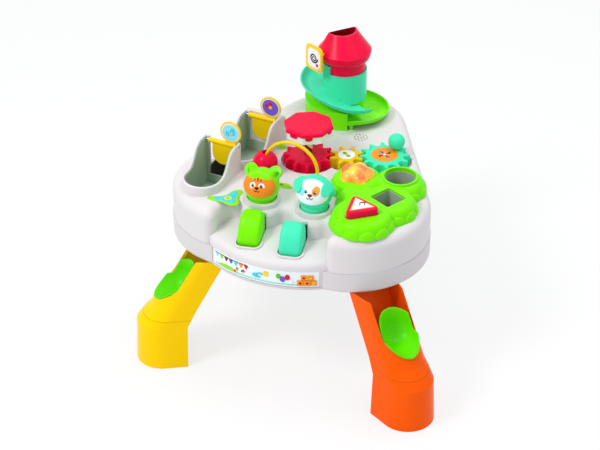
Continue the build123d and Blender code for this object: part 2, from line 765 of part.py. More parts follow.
with BuildPart() as table_base_shell:
    with BuildSketch(Plane.XY.offset(base_z)):
        add(table_outline(-band_proud))
        add(tray_outline(-band_proud))
    extrude(amount=tray_seam_z - base_z)
    fillet(table_base_shell.faces().sort_by(Axis.Z)[0].edges(), base_round)
    with BuildSketch(Plane.XY.offset(tray_seam_z)):
        add(table_outline(-band_proud))
        add(tray_outline(-seat_gap), mode=Mode.SUBTRACT)
    extrude(amount=seam_z - tray_seam_z)
    with BuildSketch(Plane.XY.offset(base_z + floor_thick)):
        add(table_outline(wall))
        add(tray_outline(wall))
    extrude(amount=seam_z - base_z, mode=Mode.SUBTRACT)
    for x, y in casing_screws_at:
        with BuildSketch(Plane.XY.offset(base_z)):
            with Locations((x, y)):
                Circle(boss_r)
        extrude(amount=boss_z - base_z)
    with BuildSketch(Plane.XY.offset(base_z + floor_thick / 2)):
        with Locations(board_at):
            with GridLocations(board_size[0] - 2 * boss_r, board_size[1] - 2 * boss_r, 2, 2):
                Circle(boss_r / 2)
    extrude(amount=board_z - base_z - floor_thick / 2)
    with BuildSketch(Plane.XY.offset(base_z)):
        with Locations(cover_screw):
            Circle(boss_r)
    extrude(amount=2 * boss_r)
    with Locations(*[(x, y, base_z) for x, y in casing_screws_at]):
        Cylinder(screw_head_r + seat_gap, screw_sink, align=standing, mode=Mode.SUBTRACT)
        Cylinder(screw_r + fit_gap, boss_z - base_z, align=standing, mode=Mode.SUBTRACT)
    with Locations((*cover_screw, base_z)):
        Cylinder(screw_r + fit_gap, 4 * boss_r, mode=Mode.SUBTRACT)
    with BuildSketch(Plane.XY.offset(base_z)):
        with Locations(battery_at):
            Rectangle(*battery_room)
        with Locations((switch_at[0], switch_at[1] + switch_travel / 2)):
            Rectangle(switch_size[0] + 2 * run_gap, switch_size[1] + switch_travel + 2 * run_gap)
    extrude(amount=floor_thick, mode=Mode.SUBTRACT)
    for side in leg_angles:
        add(leg_hole(side), mode=Mode.SUBTRACT)
table_base_shell.part.label = "table_base_shell"
export_step(table_base_shell.part, "parts/table_base_shell.step")

with BuildPart() as casing_screws:
    with Locations(*[(x, y, base_z + screw_sink) for x, y in casing_screws_at]):
        Cylinder(screw_r, screw_length, align=standing)
        Cylinder(screw_head_r, screw_head_h, align=hanging)
casing_screws.part.label = "casing_screws"
export_step(casing_screws.part, "parts/casing_screws.step")

with BuildPart() as front_label:
    with BuildSketch(Plane.XY.offset(label_low_z)):
        add(tray_outline(-label_thick))
        add(tray_outline(-fit_gap), mode=Mode.SUBTRACT)
        with Locations((tray_center[0], tray_center[1] - tray_r)):
            Rectangle(2 * label_half, tray_r, mode=Mode.INTERSECT)
    extrude(amount=label_high_z - label_low_z)
front_label.part.label = "front_label"
export_step(front_label.part, "parts/front_label.step")

with BuildPart() as left_leg_shell:
    add(leg_shell("left"))
left_leg_shell.part.label = "left_leg_shell"
export_step(left_leg_shell.part, "parts/left_leg_shell.step")

with BuildPart() as right_leg_shell:
    add(leg_shell("right"))
right_leg_shell.part.label = "right_leg_shell"
export_step(right_leg_shell.part, "parts/right_leg_shell.step")

with BuildPart() as rear_leg_shell:
    add(leg_shell("rear"))
rear_leg_shell.part.label = "rear_leg_shell"
export_step(rear_leg_shell.part, "parts/rear_leg_shell.step")

with BuildPart() as left_leg_panel:
    add(leg_panel("left"))
left_leg_panel.part.label = "left_leg_panel"
export_step(left_leg_panel.part, "parts/left_leg_panel.step")

with BuildPart() as right_leg_panel:
    add(leg_panel("right"))
right_leg_panel.part.label = "right_leg_panel"
export_step(right_leg_panel.part, "parts/right_leg_panel.step")

with BuildPart() as rear_leg_panel:
    add(leg_panel("rear"))
rear_leg_panel.part.label = "rear_leg_panel"
export_step(rear_leg_panel.part, "parts/rear_leg_panel.step")

with BuildPart() as left_leg_cup:
    add(leg_cup("left"))
left_leg_cup.part.label = "left_leg_cup"
export_step(left_leg_cup.part, "parts/left_leg_cup.step")

with BuildPart() as right_leg_cup:
    add(leg_cup("right"))
right_leg_cup.part.label = "right_leg_cup"
export_step(right_leg_cup.part, "parts/right_leg_cup.step")

with BuildPart() as leg_screws:
    for side in leg_angles:
        with Locations(*leg_screw_places(side, screw_seat)):
            Cylinder(leg_screw_r, leg_screw_length, align=standing)
            Cylinder(leg_screw_head_r, screw_head_h, align=hanging)
leg_screws.part.label = "leg_screws"
export_step(leg_screws.part, "parts/leg_screws.step")


def tower_section(angle, inner, outer, floor, lip):
    """Upright section of a ball ramp at an angle round the tower: floor and curved outer lip."""
    turn = radians(angle)
    plane = Plane(
        origin=(tower_x, tower_y, 0),
        x_dir=(cos(turn), sin(turn), 0),
        z_dir=(sin(turn), -cos(turn), 0),
    )
    bend = outer - ramp_curve
    with BuildSketch(plane) as section:
        with BuildLine():
            Polyline((bend, floor - ramp_wall), (inner, floor - ramp_wall), (inner, floor), (bend, floor))
            Spline((bend, floor), (outer - ramp_wall, floor + lip), tangents=((1, 0), (0.25, 1)))
            Line((outer - ramp_wall, floor + lip), (outer, floor + lip))
            Spline((outer, floor + lip), (bend, floor - ramp_wall), tangents=((-0.25, -1), (-1, 0)))
        make_face()
    return section.sketch


def eased(start, end, share):
    """Value between start and end that leaves and arrives gently."""
    share = min(max(share, 0.0), 1.0)
    return start + (end - start) * share * share * (3 - 2 * share)


def lower_ramp():
    """Lime trough from the end of the upper ramp round the tower and down to the table top."""
    sections = []
    for step in range(lower_ramp_steps + 1):
        angle = lower_ramp_start + (lower_ramp_end - lower_ramp_start) * step / lower_ramp_steps
        fall = (angle - lower_ramp_start) / lower_ramp_fall
        floor = eased(lower_ramp_z, top_z + ramp_wall + seat_gap, fall)
        narrow = eased(lower_ramp_r, lower_ramp_end_r, (angle - 360) / (lower_ramp_end - 360))
        sections.append(tower_section(angle, core_r - ramp_wall / 2, narrow, floor, ramp_lip))
    with BuildPart() as ramp:
        loft(sections)
    return ramp.part


def upper_ramp():
    """Teal trough from the opening of the column down to the lower ramp."""
    sections = []
    for step in range(upper_ramp_steps + 1):
        angle = upper_ramp_start + (upper_ramp_end - upper_ramp_start) * step / upper_ramp_steps
        fall = (angle - upper_ramp_bend) / (upper_ramp_end - upper_ramp_bend)
        floor = eased(upper_ramp_z, upper_ramp_low_z, fall)
        share = (angle - upper_ramp_start) / (upper_ramp_bend - upper_ramp_start)
        lip = eased(upper_ramp_lip, ramp_lip, share)
        sections.append(tower_section(angle, column_r - ramp_wall / 2, upper_ramp_r, floor, lip))
    with BuildPart() as ramp:
        loft(sections)
    return ramp.part


def tower_sector(radius, start, end, low_z, high_z):
    """Upright pie slice round the tower's axis."""
    axis = (tower_x, tower_y)
    with BuildPart() as sector:
        with BuildSketch(Plane.XY.offset(low_z)):
            with BuildLine():
                CenterArc(axis, radius, start, end - start)
                Line(on_circle((*axis, radius), end), axis)
                Line(axis, on_circle((*axis, radius), start))
            make_face()
        extrude(amount=high_z - low_z)
    return sector.part


def tower_tube(outer, inner, low_z, high_z):
    """Upright tube round the tower's axis."""
    with BuildPart() as tube:
        with BuildSketch(Plane.XY.offset(low_z)):
            with Locations((tower_x, tower_y)):
                Circle(outer)
                Circle(inner, mode=Mode.SUBTRACT)
        extrude(amount=high_z - low_z)
    return tube.part


def tall_wall():
    """Higher part of the column's wall, on the side of the ramp."""
    with BuildPart() as tall:
        add(tower_tube(column_r, column_r - ramp_wall, column_low_z - wall, column_top_z))
        side = tower_sector(hopper_r, column_tall_start, column_tall_end, drum_top_z, column_top_z)
        add(side, mode=Mode.INTERSECT)
    return tall.part


def column_door():
    """Opening in the column through which a ball rolls out on to the upper ramp."""
    return tower_sector(hopper_r, column_door_start, column_door_end, upper_ramp_z, column_door_z)


def hopper_form(inset):
    """Solid of the hopper: round neck and bulge, drawn in to a D-shaped mouth."""
    mouth = (tower_x + mouth_shift[0], tower_y + mouth_shift[1], hopper_top_z)
    low = hopper_low_z
    with BuildPart() as form:
        with BuildSketch(Plane(origin=(tower_x, tower_y, 0), x_dir=(1, 0, 0), z_dir=(0, -1, 0))):
            with BuildLine():
                Polyline((0, low), (neck_r - inset, low), (neck_r - inset, neck_z))
                Spline(
                    (neck_r - inset, neck_z),
                    (hopper_r - inset, hopper_wide_z),
                    tangents=((1, 0.45), (0, 1)),
                )
                Polyline((hopper_r - inset, hopper_wide_z), (0, hopper_wide_z), (0, low))
            make_face()
        revolve(axis=Axis((tower_x, tower_y, 0), (0, 0, 1)))
        with BuildSketch(Plane.XY.offset(hopper_wide_z)):
            with Locations((tower_x, tower_y)):
                Circle(hopper_r - inset)
        turn = radians(mouth_turn)
        with BuildSketch(Plane(origin=mouth, x_dir=(cos(turn), sin(turn), 0), z_dir=(0, 0, 1))) as top:
            with BuildLine():
                CenterArc((0, 0), mouth_r - inset, -90, 180)
                Line((0, mouth_r - inset), (0, inset - mouth_r))
            make_face()
            fillet(top.vertices(), mouth_corner_r)
        loft()
    return form.part


def gear_blank(name, first_tooth):
    """Toothed wheel with a blind bore for its post."""
    center = gear_center(name)
    tip = gear_tip_r(name)
    root = tip - gear_addendum - gear_dedendum
    with BuildPart() as gear:
        with BuildSketch(Plane.XY.offset(top_z - well_depth + run_gap)):
            with Locations(center):
                Circle(root)
                with PolarLocations(0, gear_teeth(name), first_tooth):
                    Polygon(
                        (root - tooth_root, -tooth_root),
                        (tip - tooth_nose, -tooth_nose),
                        (tip, -tooth_nose / 2),
                        (tip, tooth_nose / 2),
                        (tip - tooth_nose, tooth_nose),
                        (root - tooth_root, tooth_root),
                        align=None,
                    )
        extrude(amount=gear_h)
        fillet(gear.faces().sort_by(Axis.Z)[-1].edges(), gear_round)
    return gear.part


with BuildPart() as tower_base:
    add(tower_sector(drum_r, drum_start, drum_end, top_z, drum_top_z))
    drum_inside = drum_r - ramp_wall
    drum_room = tower_sector(drum_inside, drum_start, drum_end - drum_wall_turn, top_z, drum_top_z - ramp_wall)
    add(drum_room, mode=Mode.SUBTRACT)
    add(tower_tube(core_r, core_r - ramp_wall, top_z, drum_top_z))
    add(lower_ramp())
    with Locations(on_circle((tower_x, tower_y, tip_foot_r), tip_foot_angle) + (top_z,)):
        Cone(tip_foot_w / 2, tip_foot_w, lower_ramp_z - top_z - ramp_wall / 2,
             align=standing)
    add(tower_sector(drum_r + wall, drum_exit_start, drum_exit_end, top_z, drum_top_z - 2 * ramp_wall),
        mode=Mode.SUBTRACT)
    add(tower_tube(core_r, core_r - ramp_wall, top_z, drum_top_z))
tower_base.part.label = "tower_base"
export_step(tower_base.part, "parts/tower_base.step")

with BuildPart() as tower_ramp:
    add(tower_tube(column_r, column_r - ramp_wall, drum_top_z, column_low_z))
    add(tall_wall())
    add(column_door(), mode=Mode.SUBTRACT)
    add(upper_ramp())
    add(tower_tube(column_r - ramp_wall / 2, 1, upper_ramp_z - ramp_wall, upper_ramp_z))
tower_ramp.part.label = "tower_ramp"
export_step(tower_ramp.part, "parts/tower_ramp.step")

with BuildPart() as tower_hopper:
    add(hopper_form(0))
    add(hopper_form(ramp_wall), mode=Mode.SUBTRACT)
    add(column_door(), mode=Mode.SUBTRACT)
tower_hopper.part.label = "tower_hopper"
export_step(tower_hopper.part, "parts/tower_hopper.step")

with BuildPart() as tower_sign:
    turn = radians(sign_turn)
    face = Plane(origin=sign_at, x_dir=(cos(turn), sin(turn), 0), z_dir=(sin(turn), -cos(turn), 0))
    with BuildSketch(face.offset(-sign_thick)):
        RectangleRounded(sign_w, sign_h, sign_corner_r)
    extrude(amount=sign_thick)
    with BuildSketch(face.offset(-sign_thick)):
        with Locations(sign_tab_at):
            RectangleRounded(*sign_tab)
    extrude(amount=-sign_tab_length)
    add(hopper_form(0), mode=Mode.SUBTRACT)
tower_sign.part.label = "tower_sign"
export_step(tower_sign.part, "parts/tower_sign.step")

with BuildPart() as gear_axles:
    with Locations(*[(*gear_center(name), top_z - well_depth) for name in gear_names]):
        Cylinder(gear_pin_r, gear_pin_h, align=standing)
gear_axles.part.label = "gear_axles"
export_step(gear_axles.part, "parts/gear_axles.step")

with BuildPart() as carousel_gear:
    add(gear_blank("carousel", red_direction))
    with Locations((*gear_center("carousel"), gear_low_z)):
        Cylinder(gear_pin_r + fit_gap, gear_bore_h, align=standing, mode=Mode.SUBTRACT)
carousel_gear.part.label = "carousel_gear"
export_step(carousel_gear.part, "parts/carousel_gear.step")

with BuildPart() as idler_gear:
    add(gear_blank("idler", red_direction + small_pitch / 2))
    with Locations((*gear_center("idler"), gear_low_z)):
        Cylinder(gear_pin_r + fit_gap, gear_bore_h, align=standing, mode=Mode.SUBTRACT)
idler_gear.part.label = "idler_gear"
export_step(idler_gear.part, "parts/idler_gear.step")

with BuildPart() as crank_gear:
    add(gear_blank("crank", crank_first_tooth))
    with Locations((*gear_center("crank"), gear_low_z)):
        Cylinder(gear_pin_r + fit_gap, gear_bore_h, align=standing, mode=Mode.SUBTRACT)
    with Locations((*knob_at, gear_low_z + gear_h - gear_round)):
        Cylinder(knob_pin_r, knob_pin_h, align=standing)
crank_gear.part.label = "crank_gear"
export_step(crank_gear.part, "parts/crank_gear.step")

with BuildPart() as crank_knob:
    with Locations((*knob_at, knob_low_z + knob_rise)):
        Sphere(knob_r)
    with BuildSketch(Plane.XY.offset(knob_low_z)):
        with Locations(knob_at):
            Circle(2 * knob_r)
    extrude(amount=-knob_r, mode=Mode.SUBTRACT)
    with Locations((*knob_at, knob_low_z)):
        Cylinder(knob_pin_r + fit_gap, knob_pin_h, align=standing, mode=Mode.SUBTRACT)
crank_knob.part.label = "crank_knob"
export_step(crank_knob.part, "parts/crank_knob.step")

with BuildPart() as carousel_pole:
    with Locations((*gear_center("carousel"), gear_low_z + gear_h)):
        Cylinder(pole_r, canopy_z - gear_low_z - gear_h, align=standing)
carousel_pole.part.label = "carousel_pole"
export_step(carousel_pole.part, "parts/carousel_pole.step")

with BuildPart() as canopy_band:
    with BuildSketch(Plane.XY.offset(canopy_z)):
        with Locations(Location((*gear_center("carousel"), 0), (0, 0, canopy_turn))):
            RegularPolygon(canopy_r, canopy_sides)
    extrude(amount=band_h)
    with BuildSketch(Plane.XY.offset(canopy_z)):
        with Locations(Location((*gear_center("carousel"), 0), (0, 0, canopy_turn))):
            RegularPolygon(canopy_r - wall, canopy_sides)
        with Locations(gear_center("carousel")):
            Circle(2 * pole_r, mode=Mode.SUBTRACT)
    extrude(amount=band_h - wall, mode=Mode.SUBTRACT)
canopy_band.part.label = "canopy_band"
export_step(canopy_band.part, "parts/canopy_band.step")

with BuildPart() as canopy_icing:
    with BuildSketch(Plane.XY.offset(canopy_z + band_h)):
        with Locations(Location((*gear_center("carousel"), 0), (0, 0, canopy_turn))):
            RegularPolygon(canopy_r + icing_thick, canopy_sides)
    extrude(amount=icing_h)
    fillet(canopy_icing.faces().sort_by(Axis.Z)[-1].edges(), icing_round)
    half_side = 180 / canopy_sides
    flat = canopy_r * cos(radians(half_side))
    for side in range(canopy_sides):
        angle = canopy_turn + half_side + 2 * half_side * side
        turn = radians(angle)
        middle = on_circle((*gear_center("carousel"), flat), angle)
        skin = Plane(origin=(*middle, canopy_z + band_h), x_dir=(-sin(turn), cos(turn), 0),
                     z_dir=(cos(turn), sin(turn), 0))
        with BuildSketch(skin):
            with Locations((0, drip_overlap / 2)):
                Rectangle(2 * canopy_r * sin(radians(half_side)), drip_overlap)
            across, width, length = drips[side % len(drips)]
            with Locations((across, drip_overlap - length / 2)):
                RectangleRounded(width, length, min(width, length) / 2 - fit_gap)
        extrude(amount=icing_thick)
canopy_icing.part.label = "canopy_icing"
export_step(canopy_icing.part, "parts/canopy_icing.step")


def pocket_liner(which):
    """Thin lining of a ball pocket, open at the gate."""
    floor = pocket_floors[which]
    with BuildPart() as liner:
        add(pocket_prism(which, -seat_gap, floor - liner_wall, crest_z))
        add(pocket_prism(which, -seat_gap - liner_wall, floor, crest_z + wall), mode=Mode.SUBTRACT)
        add(pocket_side(which, liner_drop), mode=Mode.INTERSECT)
        for gate in pocket_bars:
            add(gate_way(gate), mode=Mode.SUBTRACT)
        add(gate_bore(which, gate_pin_r + run_gap, pocket_left, pocket_span), mode=Mode.SUBTRACT)
    return liner.part


def drop_tube(radius, high_z):
    """Slanting tube from the drop hole to the head of the left leg."""
    with BuildPart() as tube:
        with BuildSketch(Plane.XY.offset(high_z)):
            with Locations(drop_hole):
                Circle(radius)
        with BuildSketch(Plane.XY.offset(drop_low_z)):
            with Locations(drop_end):
                Circle(radius)
        loft()
    return tube.part


def gate_body(which):
    """Swinging gate: hinge barrel, hanging flap and round paddle on top."""
    turn = radians(pocket_turn)
    face = Plane(
        origin=(*pocket_bars[which], bar_z),
        x_dir=(cos(turn), sin(turn), 0),
        z_dir=(sin(turn), -cos(turn), 0),
    )
    with BuildPart() as gate:
        add(gate_bore(which, gate_barrel_r, -gate_barrel_half, 2 * gate_barrel_half))
        with BuildSketch(face):
            with Locations((0, (gate_half - gate_drop) / 2)):
                Rectangle(2 * gate_half, gate_drop - gate_half)
            with Locations((0, gate_half - gate_drop)):
                Circle(gate_half)
        extrude(amount=gate_thick / 2, both=True)
        with BuildSketch(face):
            with Locations((paddle_side, paddle_rise)):
                Circle(paddle_r)
            with Locations((paddle_side, paddle_rise / 2)):
                Rectangle(paddle_r, paddle_rise)
        extrude(amount=paddle_thick / 2, both=True)
        add(gate_bore(which, gate_pin_r + fit_gap, pocket_left, pocket_span), mode=Mode.SUBTRACT)
    return gate.part


def pedal_body(which):
    """Rounded pedal with an arm behind its axle, not pressed."""
    with BuildPart() as pedal:
        with BuildSketch(pedal_side_plane(which).offset(-pedal_width / 2)):
            with BuildLine():
                Spline((-pedal_reach, pedal_tip_rise), *pedal_back_curve, (-pedal_top_round, pedal_top_rise))
                Polyline(
                    (-pedal_top_round, pedal_top_rise),
                    (pedal_rear - pedal_chamfer, pedal_top_rise - pedal_chamfer / 2),
                    (pedal_rear, pedal_top_rise - pedal_top_round),
                    (pedal_rear, -pedal_low),
                    (-pedal_reach + pedal_chamfer, -pedal_low),
                    (-pedal_reach, pedal_tip_rise),
                )
            make_face()
        extrude(amount=pedal_width)
        outer = pedal.edges().filter_by(lambda e: e.center().Z > pedal_axle_z + pedal_tip_rise)
        sides = outer.filter_by(lambda e: e.geom_type == GeomType.BSPLINE)
        fillet(sides, pedal_round)
        with BuildSketch(pedal_front_plane(which)) as front:
            with Locations((0, (pedal_top_rise - pedal_low) / 2)):
                Rectangle(pedal_width, pedal_top_rise + pedal_low)
            fillet(front.vertices().group_by(Axis.Z)[-1], pedal_corner)
        extrude(amount=2 * pedal_reach, both=True, mode=Mode.INTERSECT)
        with BuildSketch(pedal_side_plane(which).offset(-pedal_arm_width / 2)):
            with Locations((pedal_arm / 2, 0)):
                Rectangle(pedal_arm, 2 * pedal_arm_r)
            with Locations((pedal_arm, 0)):
                Circle(pedal_arm_r)
        extrude(amount=pedal_arm_width)
        with BuildSketch(pedal_side_plane(which).offset(-pedal_width)):
            Circle(pedal_axle_r + fit_gap)
        extrude(amount=2 * pedal_width, mode=Mode.SUBTRACT)
    return pedal.part


def popup_lift(which):
    """How far a pop-up stands raised as stored."""
    return popup_travel * pup_pressed / pedal_press if which == "pup" else 0.0


def head_center(which):
    """Centre of a pop-up's head."""
    return Vector(*popups[which], top_z + collar_h + head_rise + popup_lift(which))


def popup_hood(which):
    """Hollow head on a stem with a closed foot."""
    center = head_center(which)
    low = pedal_axle_z + pedal_arm_r + run_gap + popup_lift(which)
    with BuildPart() as hood:
        with Locations(Location((center.X, center.Y, low))):
            Cylinder(stem_r, center.Z - low, align=standing)
        with Locations(Location(center)):
            Sphere(head_r)
            Sphere(head_r - stem_wall, mode=Mode.SUBTRACT)
        with Locations(Location((center.X, center.Y, low + stem_wall))):
            Cylinder(stem_r - stem_wall, center.Z - low - stem_wall, align=standing,
                     mode=Mode.SUBTRACT)
    return hood.part


def popup_face(which):
    """Curved face plate on the front of a pop-up's head."""
    center = head_center(which)
    tilt = radians(face_tilt)
    look = Vector(sin(radians(face_turn)) * cos(tilt), -cos(radians(face_turn)) * cos(tilt), sin(tilt))
    with BuildPart() as plate:
        with Locations(Location(center)):
            Sphere(head_r + face_thick)
            Sphere(head_r, mode=Mode.SUBTRACT)
        with BuildSketch(Plane(origin=center, x_dir=Vector(0, 0, 1).cross(look), z_dir=look)):
            with Locations((0, -face_drop)):
                Ellipse(face_half_width, face_half_height)
        extrude(amount=2 * head_r, mode=Mode.INTERSECT)
    return plate.part


def bush_form(inset):
    """Puffed lobes of the bush, joined."""
    with BuildPart() as bush:
        for x, y, r in bush_lobes:
            add(bush_lobe(x, y, r, inset))
    return bush.part


def bush_lobe(x, y, r, inset):
    """One round lobe of the bush with a soft top edge."""
    with BuildPart() as lobe:
        with Locations((x, y, top_z - bush_skirt)):
            Cylinder(r - inset, bush_h + bush_skirt - inset, align=standing)
        fillet(lobe.faces().sort_by(Axis.Z)[-1].edges(), bush_round - inset)
    return lobe.part


def button_prism(grow, low_z, high_z):
    """Triangular block with soft corners."""
    with BuildPart() as prism:
        along = Vector(1, 0, 0).rotate(Axis.Z, button_turn)
        with BuildSketch(Plane(origin=(*button_at, low_z), x_dir=along)) as plan:
            RegularPolygon(button_r + 2 * grow, 3)
            fillet(plan.vertices(), button_round)
        extrude(amount=high_z - low_z)
    return prism.part


def dome_form(inset):
    """Cloud of joined balls over the lamp."""
    with BuildPart() as dome:
        with Locations((*dome_at, top_z + bush_h)):
            Sphere(dome_r - inset)
            with PolarLocations(dome_ring, dome_lobes, dome_turn):
                Sphere(dome_lobe_r - inset)
    return dome.part


with BuildPart() as front_pocket_liner:
    add(pocket_liner("front"))
    add(drop_tube(drop_hole_r + liner_wall, pocket_floors["front"] - liner_wall))
    add(drop_tube(drop_hole_r, pocket_floors["front"]), mode=Mode.SUBTRACT)
front_pocket_liner.part.label = "front_pocket_liner"
export_step(front_pocket_liner.part, "parts/front_pocket_liner.step")

with BuildPart() as rear_pocket_liner:
    add(pocket_liner("rear"))
rear_pocket_liner.part.label = "rear_pocket_liner"
export_step(rear_pocket_liner.part, "parts/rear_pocket_liner.step")

with BuildPart() as gate_pins:
    for which in pocket_bars:
        add(gate_bore(which, gate_pin_r, pocket_left - pocket_wall, pocket_span))
gate_pins.part.label = "gate_pins"
export_step(gate_pins.part, "parts/gate_pins.step")

with BuildPart() as front_gate:
    add(gate_body("front"))
front_gate.part.label = "front_gate"
export_step(front_gate.part, "parts/front_gate.step")

with BuildPart() as rear_gate:
    add(gate_body("rear"))
rear_gate.part.label = "rear_gate"
export_step(rear_gate.part, "parts/rear_gate.step")

with BuildPart() as green_pedal:
    add(pedal_body("cub"))
green_pedal.part.label = "green_pedal"
export_step(green_pedal.part, "parts/green_pedal.step")

with BuildPart() as teal_pedal:
    pivot = pedal_side_plane("pup")
    add(pedal_body("pup").rotate(Axis(pivot.origin, pivot.z_dir), pup_pressed))
teal_pedal.part.label = "teal_pedal"
export_step(teal_pedal.part, "parts/teal_pedal.step")

with BuildPart() as pedal_axles:
    for which in pedal_axles_at:
        with BuildSketch(pedal_side_plane(which).offset(-cheek_out)):
            Circle(pedal_axle_r)
        extrude(amount=2 * cheek_out)
pedal_axles.part.label = "pedal_axles"
export_step(pedal_axles.part, "parts/pedal_axles.step")

with BuildPart() as cub_hood:
    add(popup_hood("cub"))
    for across, lean in ((-ear_across, -ear_lean), (ear_across, ear_lean)):
        with Locations(Location(head_center("cub") + Vector(across, ear_back, ear_up), (0, lean, 0))):
            Cone(ear_r, ear_tip_r, ear_h)
    with Locations(Location(head_center("cub"))):
        Sphere(head_r - stem_wall, mode=Mode.SUBTRACT)
cub_hood.part.label = "cub_hood"
export_step(cub_hood.part, "parts/cub_hood.step")

with BuildPart() as cub_face:
    add(popup_face("cub"))
cub_face.part.label = "cub_face"
export_step(cub_face.part, "parts/cub_face.step")

with BuildPart() as pup_hood:
    add(popup_hood("pup"))
    for across, lean in ((-flap_across, flap_lean), (flap_across, -flap_lean)):
        with Locations(Location(head_center("pup") + Vector(across, ear_back, flap_up), (0, lean, 0))):
            Cylinder(flap_r, flap_h)
            with Locations((0, 0, -flap_h / 2), (0, 0, flap_h / 2)):
                Sphere(flap_r)
    with Locations(Location(head_center("pup"))):
        Sphere(head_r - stem_wall, mode=Mode.SUBTRACT)
pup_hood.part.label = "pup_hood"
export_step(pup_hood.part, "parts/pup_hood.step")

with BuildPart() as pup_face:
    add(popup_face("pup"))
pup_face.part.label = "pup_face"
export_step(pup_face.part, "parts/pup_face.step")

with BuildPart() as arch_rail:
    with BuildSketch(Plane(origin=(arch_at[0] - arch_r, arch_at[1], arch_low_z))):
        Circle(rod_r)
    with BuildLine(Plane(origin=(*arch_at, arch_z), x_dir=(1, 0, 0), z_dir=(0, -1, 0))) as arch_line:
        Line((-arch_r, arch_low_z - arch_z), (-arch_r, 0))
        ThreePointArc((-arch_r, 0), (0, arch_r), (arch_r, 0))
        Line((arch_r, 0), (arch_r, arch_low_z - arch_z))
    sweep(path=arch_line.wire())
arch_rail.part.label = "arch_rail"
export_step(arch_rail.part, "parts/arch_rail.step")

with BuildPart() as sliding_bead:
    with Locations((arch_at[0] - arch_r, arch_at[1], arch_z)):
        Sphere(bead_r)
    with Locations((arch_at[0] - arch_r + bead_bore_shift, arch_at[1], arch_z)):
        Cylinder(bead_bore_r, 2 * bead_r, mode=Mode.SUBTRACT)
sliding_bead.part.label = "sliding_bead"
export_step(sliding_bead.part, "parts/sliding_bead.step")

with BuildPart() as bush_cover:
    add(bush_form(0))
    with BuildSketch(Plane.XY.offset(top_z + bush_h - bush_wall)):
        with Locations(round_hole):
            Circle(round_hole_r + ring_w)
    extrude(amount=bush_wall + ring_h)
    add(bush_form(bush_wall), mode=Mode.SUBTRACT)
    add(sorter_cut(bush_wall, top_z, top_z + bush_h - bush_wall / 2))
    add(upper_block(), mode=Mode.SUBTRACT)
    add(sorter_cut(0, top_z - wall, top_z + 2 * bush_h), mode=Mode.SUBTRACT)
    add(button_prism(button_gap, top_z + bush_h - 2 * bush_wall, top_z + 2 * bush_h), mode=Mode.SUBTRACT)
    with BuildSketch(Plane.XY.offset(top_z + bush_wall)):
        with Locations(dome_at):
            Circle(dome_r - bush_wall)
    extrude(amount=bush_h, mode=Mode.SUBTRACT)
bush_cover.part.label = "bush_cover"
export_step(bush_cover.part, "parts/bush_cover.step")

with BuildPart() as light_dome:
    add(dome_form(0))
    add(dome_form(dome_wall), mode=Mode.SUBTRACT)
    add(bush_form(0), mode=Mode.SUBTRACT)
light_dome.part.label = "light_dome"
export_step(light_dome.part, "parts/light_dome.step")

with BuildPart() as dome_lamp:
    with Locations((*dome_at, top_z)):
        Cylinder(lamp_r + bush_wall, bush_wall, align=standing)
        Cylinder(lamp_r, lamp_h, align=standing)
    with Locations((*dome_at, top_z + lamp_h)):
        Sphere(lamp_r)
dome_lamp.part.label = "dome_lamp"
export_step(dome_lamp.part, "parts/dome_lamp.step")

with BuildPart() as triangle_button:
    add(button_prism(0, button_low_z, button_low_z + button_h))
    fillet(triangle_button.faces().sort_by(Axis.Z)[-1].edges(), button_edge)
    add(button_prism(button_flange, button_low_z, button_low_z + bush_wall))
triangle_button.part.label = "triangle_button"
export_step(triangle_button.part, "parts/triangle_button.step")

with BuildPart() as button_spring:
    with BuildSketch(Plane.XY.offset(top_z)):
        with Locations(button_at):
            Circle(spring_r)
            Circle(spring_r - spring_wire, mode=Mode.SUBTRACT)
    extrude(amount=button_low_z - top_z)
button_spring.part.label = "button_spring"
export_step(button_spring.part, "parts/button_spring.step")

with BuildPart() as button_switch:
    with Locations((*button_at, top_z)):
        Box(switch_body, switch_body, switch_body_h, align=standing)
        Cylinder(switch_body / 4, switch_plunger_h, align=standing)
button_switch.part.label = "button_switch"
export_step(button_switch.part, "parts/button_switch.step")

with BuildPart() as sorter_chute:
    with BuildSketch(Plane(origin=(chute_left, 0, 0), x_dir=(0, 1, 0), z_dir=(1, 0, 0))):
        Polygon(*chute_side, align=None)
    extrude(amount=chute_width)
    with BuildSketch(Plane(origin=(chute_left + chute_wall, 0, 0), x_dir=(0, 1, 0), z_dir=(1, 0, 0))):
        Polygon(*chute_room, align=None)
    extrude(amount=chute_width - 2 * chute_wall, mode=Mode.SUBTRACT)
sorter_chute.part.label = "sorter_chute"
export_step(sorter_chute.part, "parts/sorter_chute.step")

with BuildPart() as circuit_board:
    with Locations((*board_at, board_z)):
        Box(*board_size, align=standing)
    with Locations((*board_at, board_z + board_size[2])):
        Box(*chip_size, align=standing)
        with Locations(*[(x, chip_row, 0) for x in chip_places]):
            Cylinder(chip_r, chip_h, align=standing)
circuit_board.part.label = "circuit_board"
export_step(circuit_board.part, "parts/circuit_board.step")

with BuildPart() as speaker:
    with Locations((*speaker_at, top_z - wall)):
        Cylinder(speaker_r, speaker_rim_h, align=hanging)
        Cylinder(speaker_r / 2, speaker_h, align=hanging)
        Cone(speaker_r / 4, speaker_r - wall, speaker_rim_h, align=hanging,
             mode=Mode.SUBTRACT)
speaker.part.label = "speaker"
export_step(speaker.part, "parts/speaker.step")

